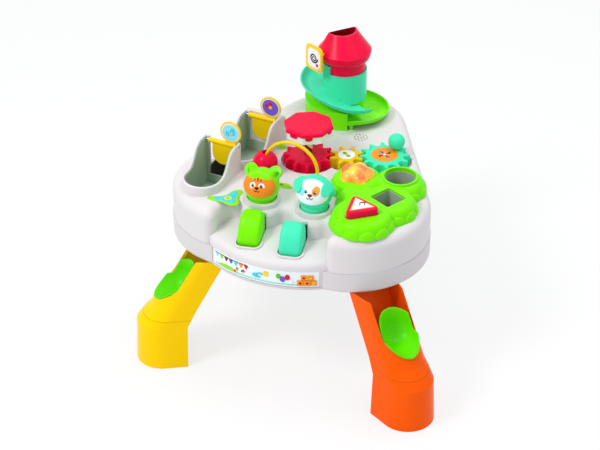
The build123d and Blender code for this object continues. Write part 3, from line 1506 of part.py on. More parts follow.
with BuildPart() as battery_box:
    with BuildSketch(Plane.XY.offset(base_z + floor_thick)):
        with Locations(battery_at):
            Rectangle(battery_room[0] + 2 * battery_wall, battery_room[1] + 2 * battery_wall)
    extrude(amount=battery_box_z - base_z - floor_thick)
    with BuildSketch(Plane.XY.offset(base_z + floor_thick)):
        with Locations(battery_at):
            Rectangle(*battery_room)
    extrude(amount=battery_box_z - base_z - floor_thick - battery_wall, mode=Mode.SUBTRACT)
battery_box.part.label = "battery_box"
export_step(battery_box.part, "parts/battery_box.step")

with BuildPart() as batteries:
    with BuildSketch(Plane(origin=(battery_at[0] - battery_length / 2, battery_at[1], base_z + battery_r),
                           x_dir=(0, 1, 0), z_dir=(1, 0, 0))):
        with GridLocations(2 * battery_r + seat_gap, 0, battery_count, 1):
            Circle(battery_r)
    extrude(amount=battery_length - battery_nub)
    with BuildSketch(Plane(origin=(battery_at[0], battery_at[1], base_z + battery_r), x_dir=(0, 1, 0),
                           z_dir=(1, 0, 0))):
        with GridLocations(2 * battery_r + seat_gap, 0, battery_count, 1):
            Circle(battery_r / 3)
    extrude(amount=battery_length / 2)
batteries.part.label = "batteries"
export_step(batteries.part, "parts/batteries.step")

with BuildPart() as battery_cover:
    with BuildSketch(Plane.XY.offset(base_z)):
        with Locations(cover_at):
            RectangleRounded(*cover_size, boss_r)
        with Locations(cover_screw):
            Circle(screw_r + fit_gap, mode=Mode.SUBTRACT)
    extrude(amount=-cover_thick)
battery_cover.part.label = "battery_cover"
export_step(battery_cover.part, "parts/battery_cover.step")

with BuildPart() as battery_screw:
    with Locations((*cover_screw, base_z - cover_thick)):
        Cylinder(screw_r, 2 * boss_r, align=standing)
        Cylinder(screw_head_r, screw_head_h, align=hanging)
battery_screw.part.label = "battery_screw"
export_step(battery_screw.part, "parts/battery_screw.step")

with BuildPart() as power_switch:
    with Locations((*switch_at, base_z + floor_thick + run_gap)):
        Box(*switch_size, floor_thick + run_gap + cover_thick, align=hanging)
        Box(switch_size[0] + 2 * wall, switch_size[1] + 2 * switch_travel, wall,
            align=standing)
power_switch.part.label = "power_switch"
export_step(power_switch.part, "parts/power_switch.step")
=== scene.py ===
import math

import bpy
from mathutils import Matrix, Vector


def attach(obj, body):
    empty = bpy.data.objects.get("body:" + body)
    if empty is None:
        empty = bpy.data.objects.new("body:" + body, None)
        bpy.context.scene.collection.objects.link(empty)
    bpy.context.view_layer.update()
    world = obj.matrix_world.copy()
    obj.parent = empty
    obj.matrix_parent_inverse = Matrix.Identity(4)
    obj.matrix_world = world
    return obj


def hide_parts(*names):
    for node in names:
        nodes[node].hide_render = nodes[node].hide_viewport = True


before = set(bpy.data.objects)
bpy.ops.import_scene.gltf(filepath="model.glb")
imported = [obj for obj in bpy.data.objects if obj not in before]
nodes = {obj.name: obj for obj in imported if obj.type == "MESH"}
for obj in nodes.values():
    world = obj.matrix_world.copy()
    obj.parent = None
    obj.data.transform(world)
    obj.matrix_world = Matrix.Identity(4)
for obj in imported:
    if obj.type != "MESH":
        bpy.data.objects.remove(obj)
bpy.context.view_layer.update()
MM = 0.001
UP = (0.0, 0.0, 1.0)
weld = 0.00002       # points nearer to each other than this become one, m
film = 0.25          # thickness of a printed sticker, mm
ink = 0.08           # each printed layer above it, mm
table_top, gear_top, icing_edge = 272.0, 283.0, 330.5      # heights, mm
cub_head = Vector((-62.0, -122.0, 295.0))                  # middles of the pop-up heads, mm
pup_head = Vector((19.5, -118.0, 299.7))


# Camera, light and floor
def aim(thing, target):
    """Turn a camera or lamp to look at a point."""
    thing.rotation_euler = (Vector(target) - thing.location).to_track_quat("-Z", "Y").to_euler()


def set_camera():
    """Camera at the photograph's viewing angle."""
    azimuth, elevation, distance = math.radians(22.0), math.radians(33.4), 2.6
    target = Vector((-0.0150, -0.0891, 0.2160))
    away = Vector((
        math.sin(azimuth) * math.cos(elevation),
        -math.cos(azimuth) * math.cos(elevation),
        math.sin(elevation),
    ))
    data = bpy.data.cameras.new("photo_camera")
    data.lens, data.sensor_width = 104.0, 36.0
    camera = bpy.data.objects.new("photo_camera", data)
    bpy.context.scene.collection.objects.link(camera)
    camera.location = target + distance * away
    aim(camera, target)
    bpy.context.scene.camera = camera


def soft_lamp(name, place, size, power, colour):
    """Round lamp that looks at the middle of the table."""
    data = bpy.data.lights.new(name, "AREA")
    data.shape = "DISK"
    data.size, data.energy, data.color = size, power, colour
    lamp = bpy.data.objects.new(name, data)
    bpy.context.scene.collection.objects.link(lamp)
    lamp.location = place
    aim(lamp, (0.0, -0.03, 0.2))


def worked(tree, operation, *values):
    """Result of a sum on sockets and plain numbers."""
    node = tree.nodes.new("ShaderNodeMath")
    node.operation = operation
    for socket, value in zip(node.inputs, values):
        if isinstance(value, float):
            socket.default_value = value
        else:
            tree.links.new(value, socket)
    return node.outputs[0]


def seen_rays(tree):
    """1 for rays that look straight at a surface or see it in gloss or glass."""
    path = tree.nodes.new("ShaderNodeLightPath")
    seen = path.outputs["Is Camera Ray"]
    for ray in ("Is Glossy Ray", "Is Transmission Ray"):
        seen = worked(tree, "MAXIMUM", seen, path.outputs[ray])
    return seen


def shared_out(tree, share, first, second, output):
    """Mix two shaders into a tree's output."""
    mix = tree.nodes.new("ShaderNodeMixShader")
    for socket, source in zip(mix.inputs, (share, first.outputs[0], second.outputs[0])):
        tree.links.new(source, socket)
    tree.links.new(mix.outputs[0], tree.nodes[output].inputs["Surface"])


def set_studio():
    """Even pale light from all round, two soft lamps, and white where the world itself is seen."""
    world = bpy.data.worlds.new("white_studio")
    bpy.context.scene.world = world
    world.use_nodes = True
    tree = world.node_tree
    light = tree.nodes["Background"]
    light.inputs["Color"].default_value = (0.93, 0.96, 1.0, 1.0)
    light.inputs["Strength"].default_value = 0.70
    paper = tree.nodes.new("ShaderNodeBackground")
    paper.inputs["Color"].default_value = (1.0, 1.0, 1.0, 1.0)
    shared_out(tree, seen_rays(tree), light, paper, "World Output")
    soft_lamp("key_lamp", (-1.1, -1.5, 2.3), 0.9, 34.0, (1.0, 0.985, 0.97))
    soft_lamp("top_lamp", (0.5, 0.6, 2.4), 1.6, 16.0, (1.0, 1.0, 1.0))


def set_floor():
    """Pale paper floor that is nearly white where it is seen and still takes the shadow."""
    paper_glow = 0.72
    bpy.ops.object.select_all(action="DESELECT")
    bpy.ops.mesh.primitive_plane_add(size=12.0, location=(0.0, 0.0, 0.0))
    floor = bpy.context.object
    floor.name = "studio_floor"
    mat = bpy.data.materials.new("floor_paper")
    mat.use_nodes = True
    tree = mat.node_tree
    tree.nodes.remove(tree.nodes["Principled BSDF"])
    paper = tree.nodes.new("ShaderNodeBsdfDiffuse")
    paper.inputs["Color"].default_value = (0.9, 0.9, 0.9, 1.0)
    glow = tree.nodes.new("ShaderNodeEmission")
    glow.inputs["Color"].default_value = (1.0, 1.0, 1.0, 1.0)
    share = worked(tree, "MULTIPLY", seen_rays(tree), paper_glow)
    shared_out(tree, share, paper, glow, "Material Output")
    floor.data.materials.append(mat)


# Finishes
def paint(red, green, blue):
    """A colour written as it looks on screen, 0 to 255."""
    def linear(value):
        value /= 255
        return value / 12.92 if value <= 0.04045 else ((value + 0.055) / 1.055) ** 2.4
    return (linear(red), linear(green), linear(blue), 1.0)


def toned(colour, share, towards=(1.0, 1.0, 1.0)):
    """A colour moved part of the way to another."""
    return tuple(c + (t - c) * share for c, t in zip(colour[:3], towards)) + (1.0,)


def new_finish(name):
    """New material: itself, its tree, its shader and the piece's own coordinates."""
    mat = bpy.data.materials.new(name)
    mat.use_nodes = True
    tree = mat.node_tree
    place = tree.nodes.new("ShaderNodeTexCoord").outputs["Object"]
    return mat, tree, tree.nodes["Principled BSDF"], place


def noise(tree, place, scale, detail=3.0):
    """Soft random pattern over a piece."""
    texture = tree.nodes.new("ShaderNodeTexNoise")
    texture.inputs["Scale"].default_value = scale
    texture.inputs["Detail"].default_value = detail
    tree.links.new(place, texture.inputs["Vector"])
    return texture.outputs["Fac"]


def ranged(tree, value, low, high, to_low, to_high):
    """A value's band from low to high, stretched to another band."""
    band = tree.nodes.new("ShaderNodeMapRange")
    for socket, number in zip(("From Min", "From Max", "To Min", "To Max"), (low, high, to_low, to_high)):
        band.inputs[socket].default_value = number
    tree.links.new(value, band.inputs["Value"])
    return band.outputs["Result"]


def blended(tree, share, first, second):
    """Mix of two colours, each a socket or a plain colour."""
    mix = tree.nodes.new("ShaderNodeMix")
    mix.data_type = "RGBA"
    tree.links.new(share, mix.inputs["Factor"])
    for socket, colour in ((mix.inputs[6], first), (mix.inputs[7], second)):
        if isinstance(colour, tuple):
            socket.default_value = colour
        else:
            tree.links.new(colour, socket)
    return mix.outputs[2]


def plastic(name, colour, rough=0.28, cloud=0.05, grain=0.03, grain_scale=900.0, edge=0.2, coat=0.02,
            pattern=None, shine=0.1):
    """Moulded plastic: faint clouding of the colour, fine surface grain and a painted highlight that makes
    edges a little lighter.
    """
    cloud_scale, gloss_scale, edge_radius, grain_depth = 16.0, 60.0, 0.0011, 0.0003
    mat, tree, shader, place = new_finish(name)
    bright = [min(1.0, 1.6 * value) for value in colour[:3]]
    tone = blended(tree, noise(tree, place, cloud_scale),
                   toned(colour, cloud, (0.0, 0.0, 0.0)), toned(colour, cloud, bright))
    if pattern:
        tone = pattern(tree, place, tone)
    soft = tree.nodes.new("ShaderNodeBevel")
    soft.samples = 4
    soft.inputs["Radius"].default_value = edge_radius
    facing = tree.nodes.new("ShaderNodeVectorMath")
    facing.operation = "DOT_PRODUCT"
    tree.links.new(soft.outputs["Normal"], facing.inputs[0])
    tree.links.new(tree.nodes.new("ShaderNodeNewGeometry").outputs["Normal"], facing.inputs[1])
    # Painted highlight: at edges, where the bevel normal turns away from the true normal, the base colour is
    # made lighter.
    painted_edge_highlight = ranged(tree, facing.outputs["Value"], 0.80, 0.985, edge, 0.0)
    tree.links.new(blended(tree, painted_edge_highlight, tone, toned(colour, 0.55)), shader.inputs["Base Color"])
    gloss = ranged(tree, noise(tree, place, gloss_scale), 0.3, 0.7, rough - 0.05, rough + 0.06)
    tree.links.new(gloss, shader.inputs["Roughness"])
    bump = tree.nodes.new("ShaderNodeBump")
    bump.inputs["Strength"].default_value = grain
    bump.inputs["Distance"].default_value = grain_depth
    tree.links.new(noise(tree, place, grain_scale, 2.0), bump.inputs["Height"])
    tree.links.new(soft.outputs["Normal"], bump.inputs["Normal"])
    tree.links.new(bump.outputs["Normal"], shader.inputs["Normal"])
    shader.inputs["Specular IOR Level"].default_value = shine
    shader.inputs["Coat Weight"].default_value = coat
    shader.inputs["Coat Roughness"].default_value = 0.12
    return mat


def split(tree, place):
    """The three coordinates of a place."""
    axes = tree.nodes.new("ShaderNodeSeparateXYZ")
    tree.links.new(place, axes.inputs[0])
    return axes.outputs


def striped(first, second, pitch):
    """Slanting stripes round the upright carousel pole."""
    pole_x, pole_y, starts = -0.0392, 0.0059, 2

    def pattern(tree, place, tone):
        axes = split(tree, place)
        turn = worked(tree, "ARCTAN2", worked(tree, "SUBTRACT", axes["Y"], pole_y),
                      worked(tree, "SUBTRACT", axes["X"], pole_x))
        rounds = worked(tree, "MULTIPLY", turn, starts / (2 * math.pi))
        climb = worked(tree, "MULTIPLY_ADD", axes["Z"], 1.0 / pitch, rounds)
        saw = worked(tree, "PINGPONG", climb, 0.5)
        return blended(tree, ranged(tree, saw, 0.22, 0.28, 0.0, 1.0), first, second)
    return pattern


def parting(height):
    """Fine dark line where the mould's halves met, at one height."""
    def pattern(tree, place, tone):
        level = worked(tree, "SUBTRACT", split(tree, place)["Z"], height)
        line = ranged(tree, worked(tree, "ABSOLUTE", level), 0.0003, 0.0008, 0.4, 0.0)
        return blended(tree, line, tone, paint(150, 70, 10))
    return pattern


def metal(name, colour, rough):
    """Drawn or plated metal with fine specks."""
    mat, tree, shader, place = new_finish(name)
    shader.inputs["Metallic"].default_value = 1.0
    tone = blended(tree, noise(tree, place, 300.0), toned(colour, 0.15, (0.0, 0.0, 0.0)), toned(colour, 0.1))
    tree.links.new(tone, shader.inputs["Base Color"])
    gloss = ranged(tree, noise(tree, place, 900.0), 0.3, 0.7, rough - 0.08, rough + 0.1)
    tree.links.new(gloss, shader.inputs["Roughness"])
    return mat


def lit_dome():
    """Clear orange dome with a painted glow that stands in for the lamp shining through it."""
    mat, tree, shader, place = new_finish("lit_dome")
    lobes = ranged(tree, noise(tree, place, 42.0, 1.0), 0.38, 0.62, 0.0, 1.0)
    tone = blended(tree, lobes, paint(255, 120, 60), paint(255, 205, 60))
    tree.links.new(tone, shader.inputs["Base Color"])
    # Painted glow: emission on the dome stands in for the light of the lamp inside.
    glow = blended(tree, lobes, paint(255, 110, 60), paint(255, 215, 90))
    tree.links.new(glow, shader.inputs["Emission Color"])
    shader.inputs["Emission Strength"].default_value = 0.28
    shader.inputs["Transmission Weight"].default_value = 0.25
    shader.inputs["IOR"].default_value = 1.49
    gloss = ranged(tree, noise(tree, place, 120.0), 0.3, 0.7, 0.08, 0.2)
    tree.links.new(gloss, shader.inputs["Roughness"])
    return mat


shell_look = dict(rough=0.42, cloud=0.015, grain=0.06, grain_scale=1400.0, edge=0.3, coat=0.03)
leg_look = dict(rough=0.15, cloud=0.03, coat=0.0, pattern=parting(0.083), shine=0.07)
cream = plastic("cream_shell", paint(224, 219, 220), **shell_look)
# Painted shade: a slightly darker copy of the cream for the base shell and battery cover, standing in for the
# shade on the table's lower walls.
shaded_cream = plastic("cream_base", paint(217, 212, 214), **shell_look)
yellow = plastic("yellow_leg", paint(255, 208, 0), **leg_look)
orange = plastic("orange_leg", paint(255, 92, 0), **leg_look)
lime = plastic("lime_shell", paint(122, 240, 0), rough=0.3, cloud=0.04)
# Painted shade: a darker copy of the lime for the leg cups, standing in for the shade in their deep insides.
shaded_cup_lime = plastic("lime_cup_painted_shade", paint(98, 224, 2), rough=0.3, cloud=0.05)
teal = plastic("teal_shell", paint(70, 232, 182), rough=0.28, cloud=0.03)
red = plastic("red_shell", paint(240, 10, 64), rough=0.26, cloud=0.04)
gate_yellow = plastic("gate_yellow", paint(252, 210, 10), rough=0.3, cloud=0.03)
gear_yellow = plastic("gear_yellow", paint(238, 194, 18), rough=0.3, cloud=0.04)
sage = plastic("sage_lining", paint(166, 186, 165), rough=0.5, cloud=0.05, grain=0.2, grain_scale=1200.0,
               edge=0.1, coat=0.0)
white = plastic("white_plastic", paint(240, 246, 247), rough=0.25, cloud=0.02, grain=0.06)
white_print = plastic("white_print", paint(236, 247, 250), rough=0.22, cloud=0.01, grain=0.03)
face_orange = plastic("face_orange", paint(248, 140, 34), rough=0.28, cloud=0.05, grain=0.05)
stripes = plastic("striped_pole", paint(245, 228, 180), rough=0.25, cloud=0.02, grain=0.04, edge=0.0,
                  coat=0.2, pattern=striped(paint(128, 30, 48), paint(246, 232, 190), pitch=0.016))
dark = plastic("dark_plastic", paint(34, 32, 36), rough=0.4, cloud=0.05, grain=0.2)
board = plastic("board_green", paint(20, 92, 52), rough=0.4, cloud=0.1, grain=0.3, grain_scale=500.0)
cells = plastic("cell_wrap", paint(58, 64, 78), rough=0.3, cloud=0.05, grain=0.05)
steel = metal("steel", (0.55, 0.55, 0.56, 1.0), 0.32)
zinc = metal("zinc", (0.62, 0.62, 0.63, 1.0), 0.24)
clear = plastic("lamp_clear", paint(250, 240, 200), rough=0.15, cloud=0.02, grain=0.02)
glowing = lit_dome()

dressing = {
    cream: ["table_top_shell", "gear_axles"],
    shaded_cream: ["table_base_shell", "battery_cover"],
    white_print: ["front_label", "pup_face"],
    yellow: ["left_leg_shell", "left_leg_panel"],
    orange: ["right_leg_shell", "right_leg_panel", "sorter_chute"],
    shaded_cup_lime: ["left_leg_cup", "right_leg_cup"],
    lime: ["tower_base", "bush_cover", "green_pedal", "cub_hood"],
    teal: [
        "rear_leg_shell", "rear_leg_panel", "tower_ramp", "teal_pedal", "pup_hood", "crank_gear",
        "crank_knob",
    ],
    red: [
        "tower_hopper", "carousel_gear", "canopy_icing", "sliding_bead", "triangle_button", "power_switch",
    ],
    gate_yellow: ["front_gate", "rear_gate", "arch_rail", "tower_sign"],
    gear_yellow: ["idler_gear"],
    sage: ["front_pocket_liner", "rear_pocket_liner"],
    white: ["canopy_band"],
    face_orange: ["cub_face"],
    stripes: ["carousel_pole"],
    glowing: ["light_dome"],
    steel: ["gate_pins", "pedal_axles", "casing_screws", "leg_screws", "battery_screw"],
    zinc: ["button_spring"],
    dark: ["speaker", "button_switch", "battery_box"],
    board: ["circuit_board"],
    cells: ["batteries"],
    clear: ["dome_lamp"],
}
for finish, names in dressing.items():
    for name in names:
        node = nodes[name]
        node.data.materials.clear()
        node.data.materials.append(finish)


# Handling of pieces
def put_down():
    """Leave edit mode with nothing selected."""
    if bpy.context.object and bpy.context.object.mode != "OBJECT":
        bpy.ops.object.mode_set(mode="OBJECT")
    bpy.ops.object.select_all(action="DESELECT")


def pick(piece):
    """Select one piece alone."""
    put_down()
    piece.select_set(True)
    bpy.context.view_layer.objects.active = piece


def pick_mesh(piece):
    """Go into edit mode on one piece, with all of its mesh selected."""
    pick(piece)
    bpy.ops.object.mode_set(mode="EDIT")
    bpy.ops.mesh.select_all(action="SELECT")


def apply_all(piece):
    """Apply the modifiers of a piece, in order."""
    pick(piece)
    for modifier in list(piece.modifiers):
        bpy.ops.object.modifier_apply(modifier=modifier.name)


def joined(parts, name):
    """One named piece made of several."""
    put_down()
    for part in parts:
        part.select_set(True)
    bpy.context.view_layer.objects.active = parts[0]
    if len(parts) > 1:
        bpy.ops.object.join()
    piece = bpy.context.object
    piece.name = piece.data.name = name
    return piece


def spot_frame(place, along, out):
    """Frame of a flat place on the object: origin in mm, direction to the right and direction outwards."""
    out = Vector(out).normalized()
    along = (Vector(along) - out * Vector(along).dot(out)).normalized()
    up = out.cross(along)
    turn = Matrix((along, up, out)).transposed().to_4x4()
    return Matrix.Translation(Vector(place) * MM) @ turn


def on_circle(angle, across=1.0, high=None):
    """Point of a circle, or of an ellipse with two half sizes, at an angle in degrees."""
    turn = math.radians(angle)
    return (across * math.cos(turn), (high or across) * math.sin(turn))


def turned(angle):
    """Level direction at an angle in degrees from the right."""
    return (*on_circle(angle), 0.0)


def plate_axes(angle):
    """Directions to the right and to the front of an upright plate that is turned by an angle."""
    return Vector(turned(angle)), Vector(turned(angle - 90.0))


def head_axes():
    """Directions of a pop-up head: to the right, up the face and out of the face."""
    tilt, turn = math.radians(38.0), math.radians(6.0)
    look = Vector((math.sin(turn) * math.cos(tilt), -math.cos(turn) * math.cos(tilt), math.sin(tilt)))
    right = Vector(UP).cross(look).normalized()
    return right, look.cross(right), look


# Printed stickers and faces
def cut_sheet(name, loops):
    """Flat sheet cut to closed loops of (x, y) in mm: smooth where a loop is soft, straight where not."""
    data = bpy.data.curves.new(name, "CURVE")
    data.dimensions, data.fill_mode, data.resolution_u = "2D", "BOTH", 6
    for points, soft in loops:
        spline = data.splines.new("BEZIER")
        spline.bezier_points.add(len(points) - 1)
        for knot, (x, y) in zip(spline.bezier_points, points):
            knot.co = (x * MM, y * MM, 0.0)
            knot.handle_left_type = knot.handle_right_type = "AUTO" if soft else "VECTOR"
        spline.use_cyclic_u = True
    sheet = bpy.data.objects.new(name, data)
    bpy.context.scene.collection.objects.link(sheet)
    pick(sheet)
    bpy.ops.object.convert(target="MESH")
    sheet = bpy.context.object
    pick_mesh(sheet)
    bpy.ops.mesh.remove_doubles(threshold=weld)
    bpy.ops.mesh.normals_make_consistent(inside=False)
    bpy.ops.object.mode_set(mode="OBJECT")
    if sheet.data.polygons[0].normal.z < 0:
        pick_mesh(sheet)
        bpy.ops.mesh.flip_normals()
        bpy.ops.object.mode_set(mode="OBJECT")
    return sheet


def divide(sheet, step):
    """Cut a flat sheet across both ways, so that it can follow a curved surface."""
    low = [min(v.co[i] for v in sheet.data.vertices) for i in (0, 1)]
    high = [max(v.co[i] for v in sheet.data.vertices) for i in (0, 1)]
    pick(sheet)
    bpy.ops.object.mode_set(mode="EDIT")
    for axis in (0, 1):
        count = int((high[axis] - low[axis]) / (step * MM))
        for i in range(count):
            spot, way = [0.0, 0.0, 0.0], [0.0, 0.0, 0.0]
            spot[axis] = low[axis] + (i + 1) * (high[axis] - low[axis]) / (count + 1)
            way[axis] = 1.0
            bpy.ops.mesh.select_all(action="SELECT")
            bpy.ops.mesh.bisect(plane_co=spot, plane_no=way)
    bpy.ops.object.mode_set(mode="OBJECT")


def sticker(name, layers, at, body, carrier=None, step=2.5):
    """Printed film: layers of (loops, finish) from the bottom up, laid flat or pressed onto a carrier."""
    sheets = []
    for level, (loops, finish) in enumerate(layers):
        sheet = cut_sheet(name, loops)
        sheet.data.materials.append(finish)
        if carrier:
            divide(sheet, step)
            sheet.matrix_world = at
            press = sheet.modifiers.new("press", "SHRINKWRAP")
            press.target, press.wrap_method, press.use_project_z = nodes[carrier], "PROJECT", True
            press.use_positive_direction, press.use_negative_direction = False, True
        bulk = sheet.modifiers.new("bulk", "SOLIDIFY")
        bulk.thickness, bulk.offset = (film + level * ink) * MM, 1.0
        apply_all(sheet)
        if not carrier:
            sheet.matrix_world = at
        sheets.append(sheet)
    piece = joined(sheets, name)
    bpy.ops.object.transform_apply(location=True, rotation=True, scale=True)
    bpy.ops.object.shade_smooth_by_angle(angle=math.radians(40.0))
    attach(piece, body)


def oval(x, y, across, high=None, turn=0.0, points=12):
    """Loop of an ellipse with its half sizes."""
    ring = [on_circle(360 * i / points, across, high) for i in range(points)]
    return shape(ring, x, y, turn=turn, soft=True)


def shape(points, x=0.0, y=0.0, size=1.0, turn=0.0, soft=False):
    """Loop through given points, scaled, turned and placed."""
    c, s = on_circle(turn)
    return [(x + size * (u * c - v * s), y + size * (u * s + v * c)) for u, v in points], soft


def petals(x, y, ring, size, count, turn=0.0):
    """Ovals round a centre."""
    loops = []
    for i in range(count):
        angle = turn + 360 * i / count
        u, v = on_circle(angle, ring)
        loops.append(oval(x + u, y + v, size, size * 0.72, angle))
    return loops


def print_ink(name, red, green, blue):
    """Gloss printing ink with faint dots of the print in it."""
    return plastic(name, paint(red, green, blue), rough=0.24, cloud=0.03, grain=0.03, grain_scale=2500.0,
                   edge=0.0, coat=0.1)


ink_sky = print_ink("ink_sky", 150, 226, 246)
ink_lime = print_ink("ink_lime", 150, 224, 24)
ink_leaf = print_ink("ink_leaf", 106, 190, 40)
ink_orange = print_ink("ink_orange", 250, 150, 30)
ink_yellow = print_ink("ink_yellow", 255, 214, 40)
ink_red = print_ink("ink_red", 214, 34, 60)
ink_maroon = print_ink("ink_maroon", 140, 30, 40)
ink_purple = print_ink("ink_purple", 118, 92, 214)
ink_blue = print_ink("ink_blue", 60, 100, 190)
ink_black = print_ink("ink_black", 40, 30, 32)
ink_white = print_ink("ink_white", 246, 248, 248)
ink_cyan = print_ink("ink_cyan", 70, 214, 232)
ink_brown = print_ink("ink_brown", 120, 74, 40)
ink_tan = print_ink("ink_tan", 244, 166, 70)
ink_mint = print_ink("ink_mint", 150, 232, 214)


def table_stickers():
    """A wing and two leaves on the table top."""
    leaf = [(-15, -1), (-8, 6), (2, 8.5), (11, 5), (17, 0), (10, -6), (1, -8), (-8, -5.5)]
    vein = [(-11, -0.8), (12, 0.6), (12, -0.4), (-11, -1.8)]
    wing = [(-25, -9), (-3, 3), (14, 25), (21, 22), (19.5, 4), (25, -14), (18, -20), (-2, -15), (-19, -13)]
    wing_inner = [(-15.5, -8), (-1, 2), (13, 18), (15, 3), (16, -12), (0, -11)]
    sticker("wing_sticker", [
        ([shape(wing, soft=True)], ink_lime),
        ([shape(wing_inner, soft=True)], ink_cyan),
        ([oval(5.0, -2.0, 5.6, 4.4, 20)], ink_yellow),
        ([oval(5.0, -2.0, 2.0), oval(11.0, 5.0, 1.5), oval(0.4, -7.2, 1.4)], ink_leaf),
    ], spot_frame((-114.0, -140.0, table_top), turned(6), UP), "table")
    for name, x, y, angle, size in (
        ("front_leaf", -45.0, -78.0, -8.0, 0.85),
        ("rear_leaf", -94.0, 24.0, 12.0, 0.9),
    ):
        sticker(name, [
            ([shape(leaf, size=size, soft=True)], ink_lime),
            ([shape(vein, size=size)], ink_leaf),
            ([oval(-6.0 * size, 1.0, 2.6, 2.4)], ink_maroon),
            ([oval(-6.0 * size, 1.0, 1.0)], ink_yellow),
        ], spot_frame((x, y, table_top), turned(angle), UP), "table")


def gear_stickers():
    """Round prints on the crank gear and the idler gear."""
    blade = [(0, 0), (9.5, 3.0), (8.0, 9.0)]
    other_blade = [(0, 0), (-3.0, 9.5), (-9.0, 8.0)]
    sticker("crank_sticker", [
        ([oval(0, 0, 21.0, points=24)], ink_tan),
        ([oval(0, 0, 18.6, points=24)], ink_orange),
        ([shape(blade), shape(blade, size=-1.0)], ink_maroon),
        ([shape(other_blade), shape(other_blade, size=-1.0)], ink_blue),
        ([oval(0, 0, 2.2)], ink_white),
    ], spot_frame((69.6, 45.7, gear_top), turned(20), UP), "crank")
    sticker("idler_sticker", [
        ([oval(0, 0, 13.2, points=20)], ink_white),
        (petals(0, 0, 4.6, 4.0, 4, 45), ink_leaf),
        ([oval(0, 0, 1.8)], ink_yellow),
    ], spot_frame((15.8, 24.0, gear_top), turned(10), UP), "idler")


def gate_stickers():
    """Water drops on the front gate's paddle and a flower on the rear one's, on both faces."""
    across, front = plate_axes(-5.0)
    bar_height, paddle_side, paddle_rise, paddle_half = 316.0, 14.5, 22.0, 1.2
    drop = [(0, 7), (4.5, 0), (3.6, -4), (0, -5.6), (-3.6, -4), (-4.5, 0)]
    looks = {
        "front_gate": ((-150.0, -65.0), [
            ([oval(0, 0, 15.0, points=20)], ink_white),
            ([oval(0, 0, 13.4, points=20)], ink_sky),
            ([shape(drop, 3.5, 1.5, soft=True), shape(drop, -5.0, -3.5, 0.7, soft=True)], ink_cyan),
            ([oval(2.4, -0.6, 0.9, 1.6, 20), oval(-5.6, -4.6, 0.6, 1.1, 20)], ink_white),
        ]),
        "rear_gate": ((-124.0, 27.0), [
            ([oval(0, 0, 15.0, points=20)], ink_white),
            ([oval(0, 0, 13.6, points=20)], ink_purple),
            (petals(0, 0, 5.2, 4.4, 5, 90), ink_red),
            ([oval(0, 0, 2.6)], ink_yellow),
        ]),
    }
    for body, (bar, layers) in looks.items():
        middle = Vector((*bar, bar_height + paddle_rise)) + paddle_side * across
        for name, sign in (("front", 1), ("back", -1)):
            at = spot_frame(middle + sign * paddle_half * front, sign * across, sign * front)
            sticker(f"{body}_{name}_sticker", layers, at, body)


def sign_sticker():
    """Plain coil on the tower's plate."""
    across, front = plate_axes(-25.5)
    plate = [
        (-10, -21.5), (10, -21.5), (18, -13.5), (18, 13.5),
        (10, 21.5), (-10, 21.5), (-18, 13.5), (-18, -13.5),
    ]
    steps, step_angle = 25, 30
    coil = [on_circle(step_angle * i, 2.0 + 0.34 * i) for i in range(steps)]
    coil += [on_circle(step_angle * i, 0.6 + 0.27 * i) for i in reversed(range(steps))]
    sticker("sign_sticker", [
        ([shape(plate, size=0.95)], ink_yellow),
        ([shape(plate, size=0.78)], ink_white),
        ([shape(coil, 0.0, 1.0, 0.95, soft=True)], ink_black),
        ([oval(7.5, -9.6, 2.8)], ink_red),
    ], spot_frame((-78.0, 124.5, 380.0), across, front), "table")


def button_sticker():
    """A note of music on the triangle button."""
    wedge = [on_circle(angle) for angle in (0, 120, 240)]
    note_bar = [
        (-1.6, -3.2), (-0.2, -3.2), (-0.2, 4.4), (5.4, 5.8),
        (5.4, -1.6), (6.8, -1.6), (6.8, 9.4), (-1.6, 7.4),
    ]
    sticker("button_sticker", [
        ([shape(wedge, size=22.0)], ink_tan),
        ([shape(wedge, size=19.0)], ink_white),
        ([oval(-3.8, -3.4, 3.4, 2.6, 20), oval(3.6, -1.8, 3.4, 2.6, 20), shape(note_bar)], ink_maroon),
    ], spot_frame((95.7, -133.8, 305.0), turned(8), UP), "button")


def face_frame(head):
    """Frame before a head's face, from which its print is pressed on."""
    right, rise, look = head_axes()
    ahead, below = 40.0, 1.97
    return spot_frame(head + ahead * look - below * rise, right, look)


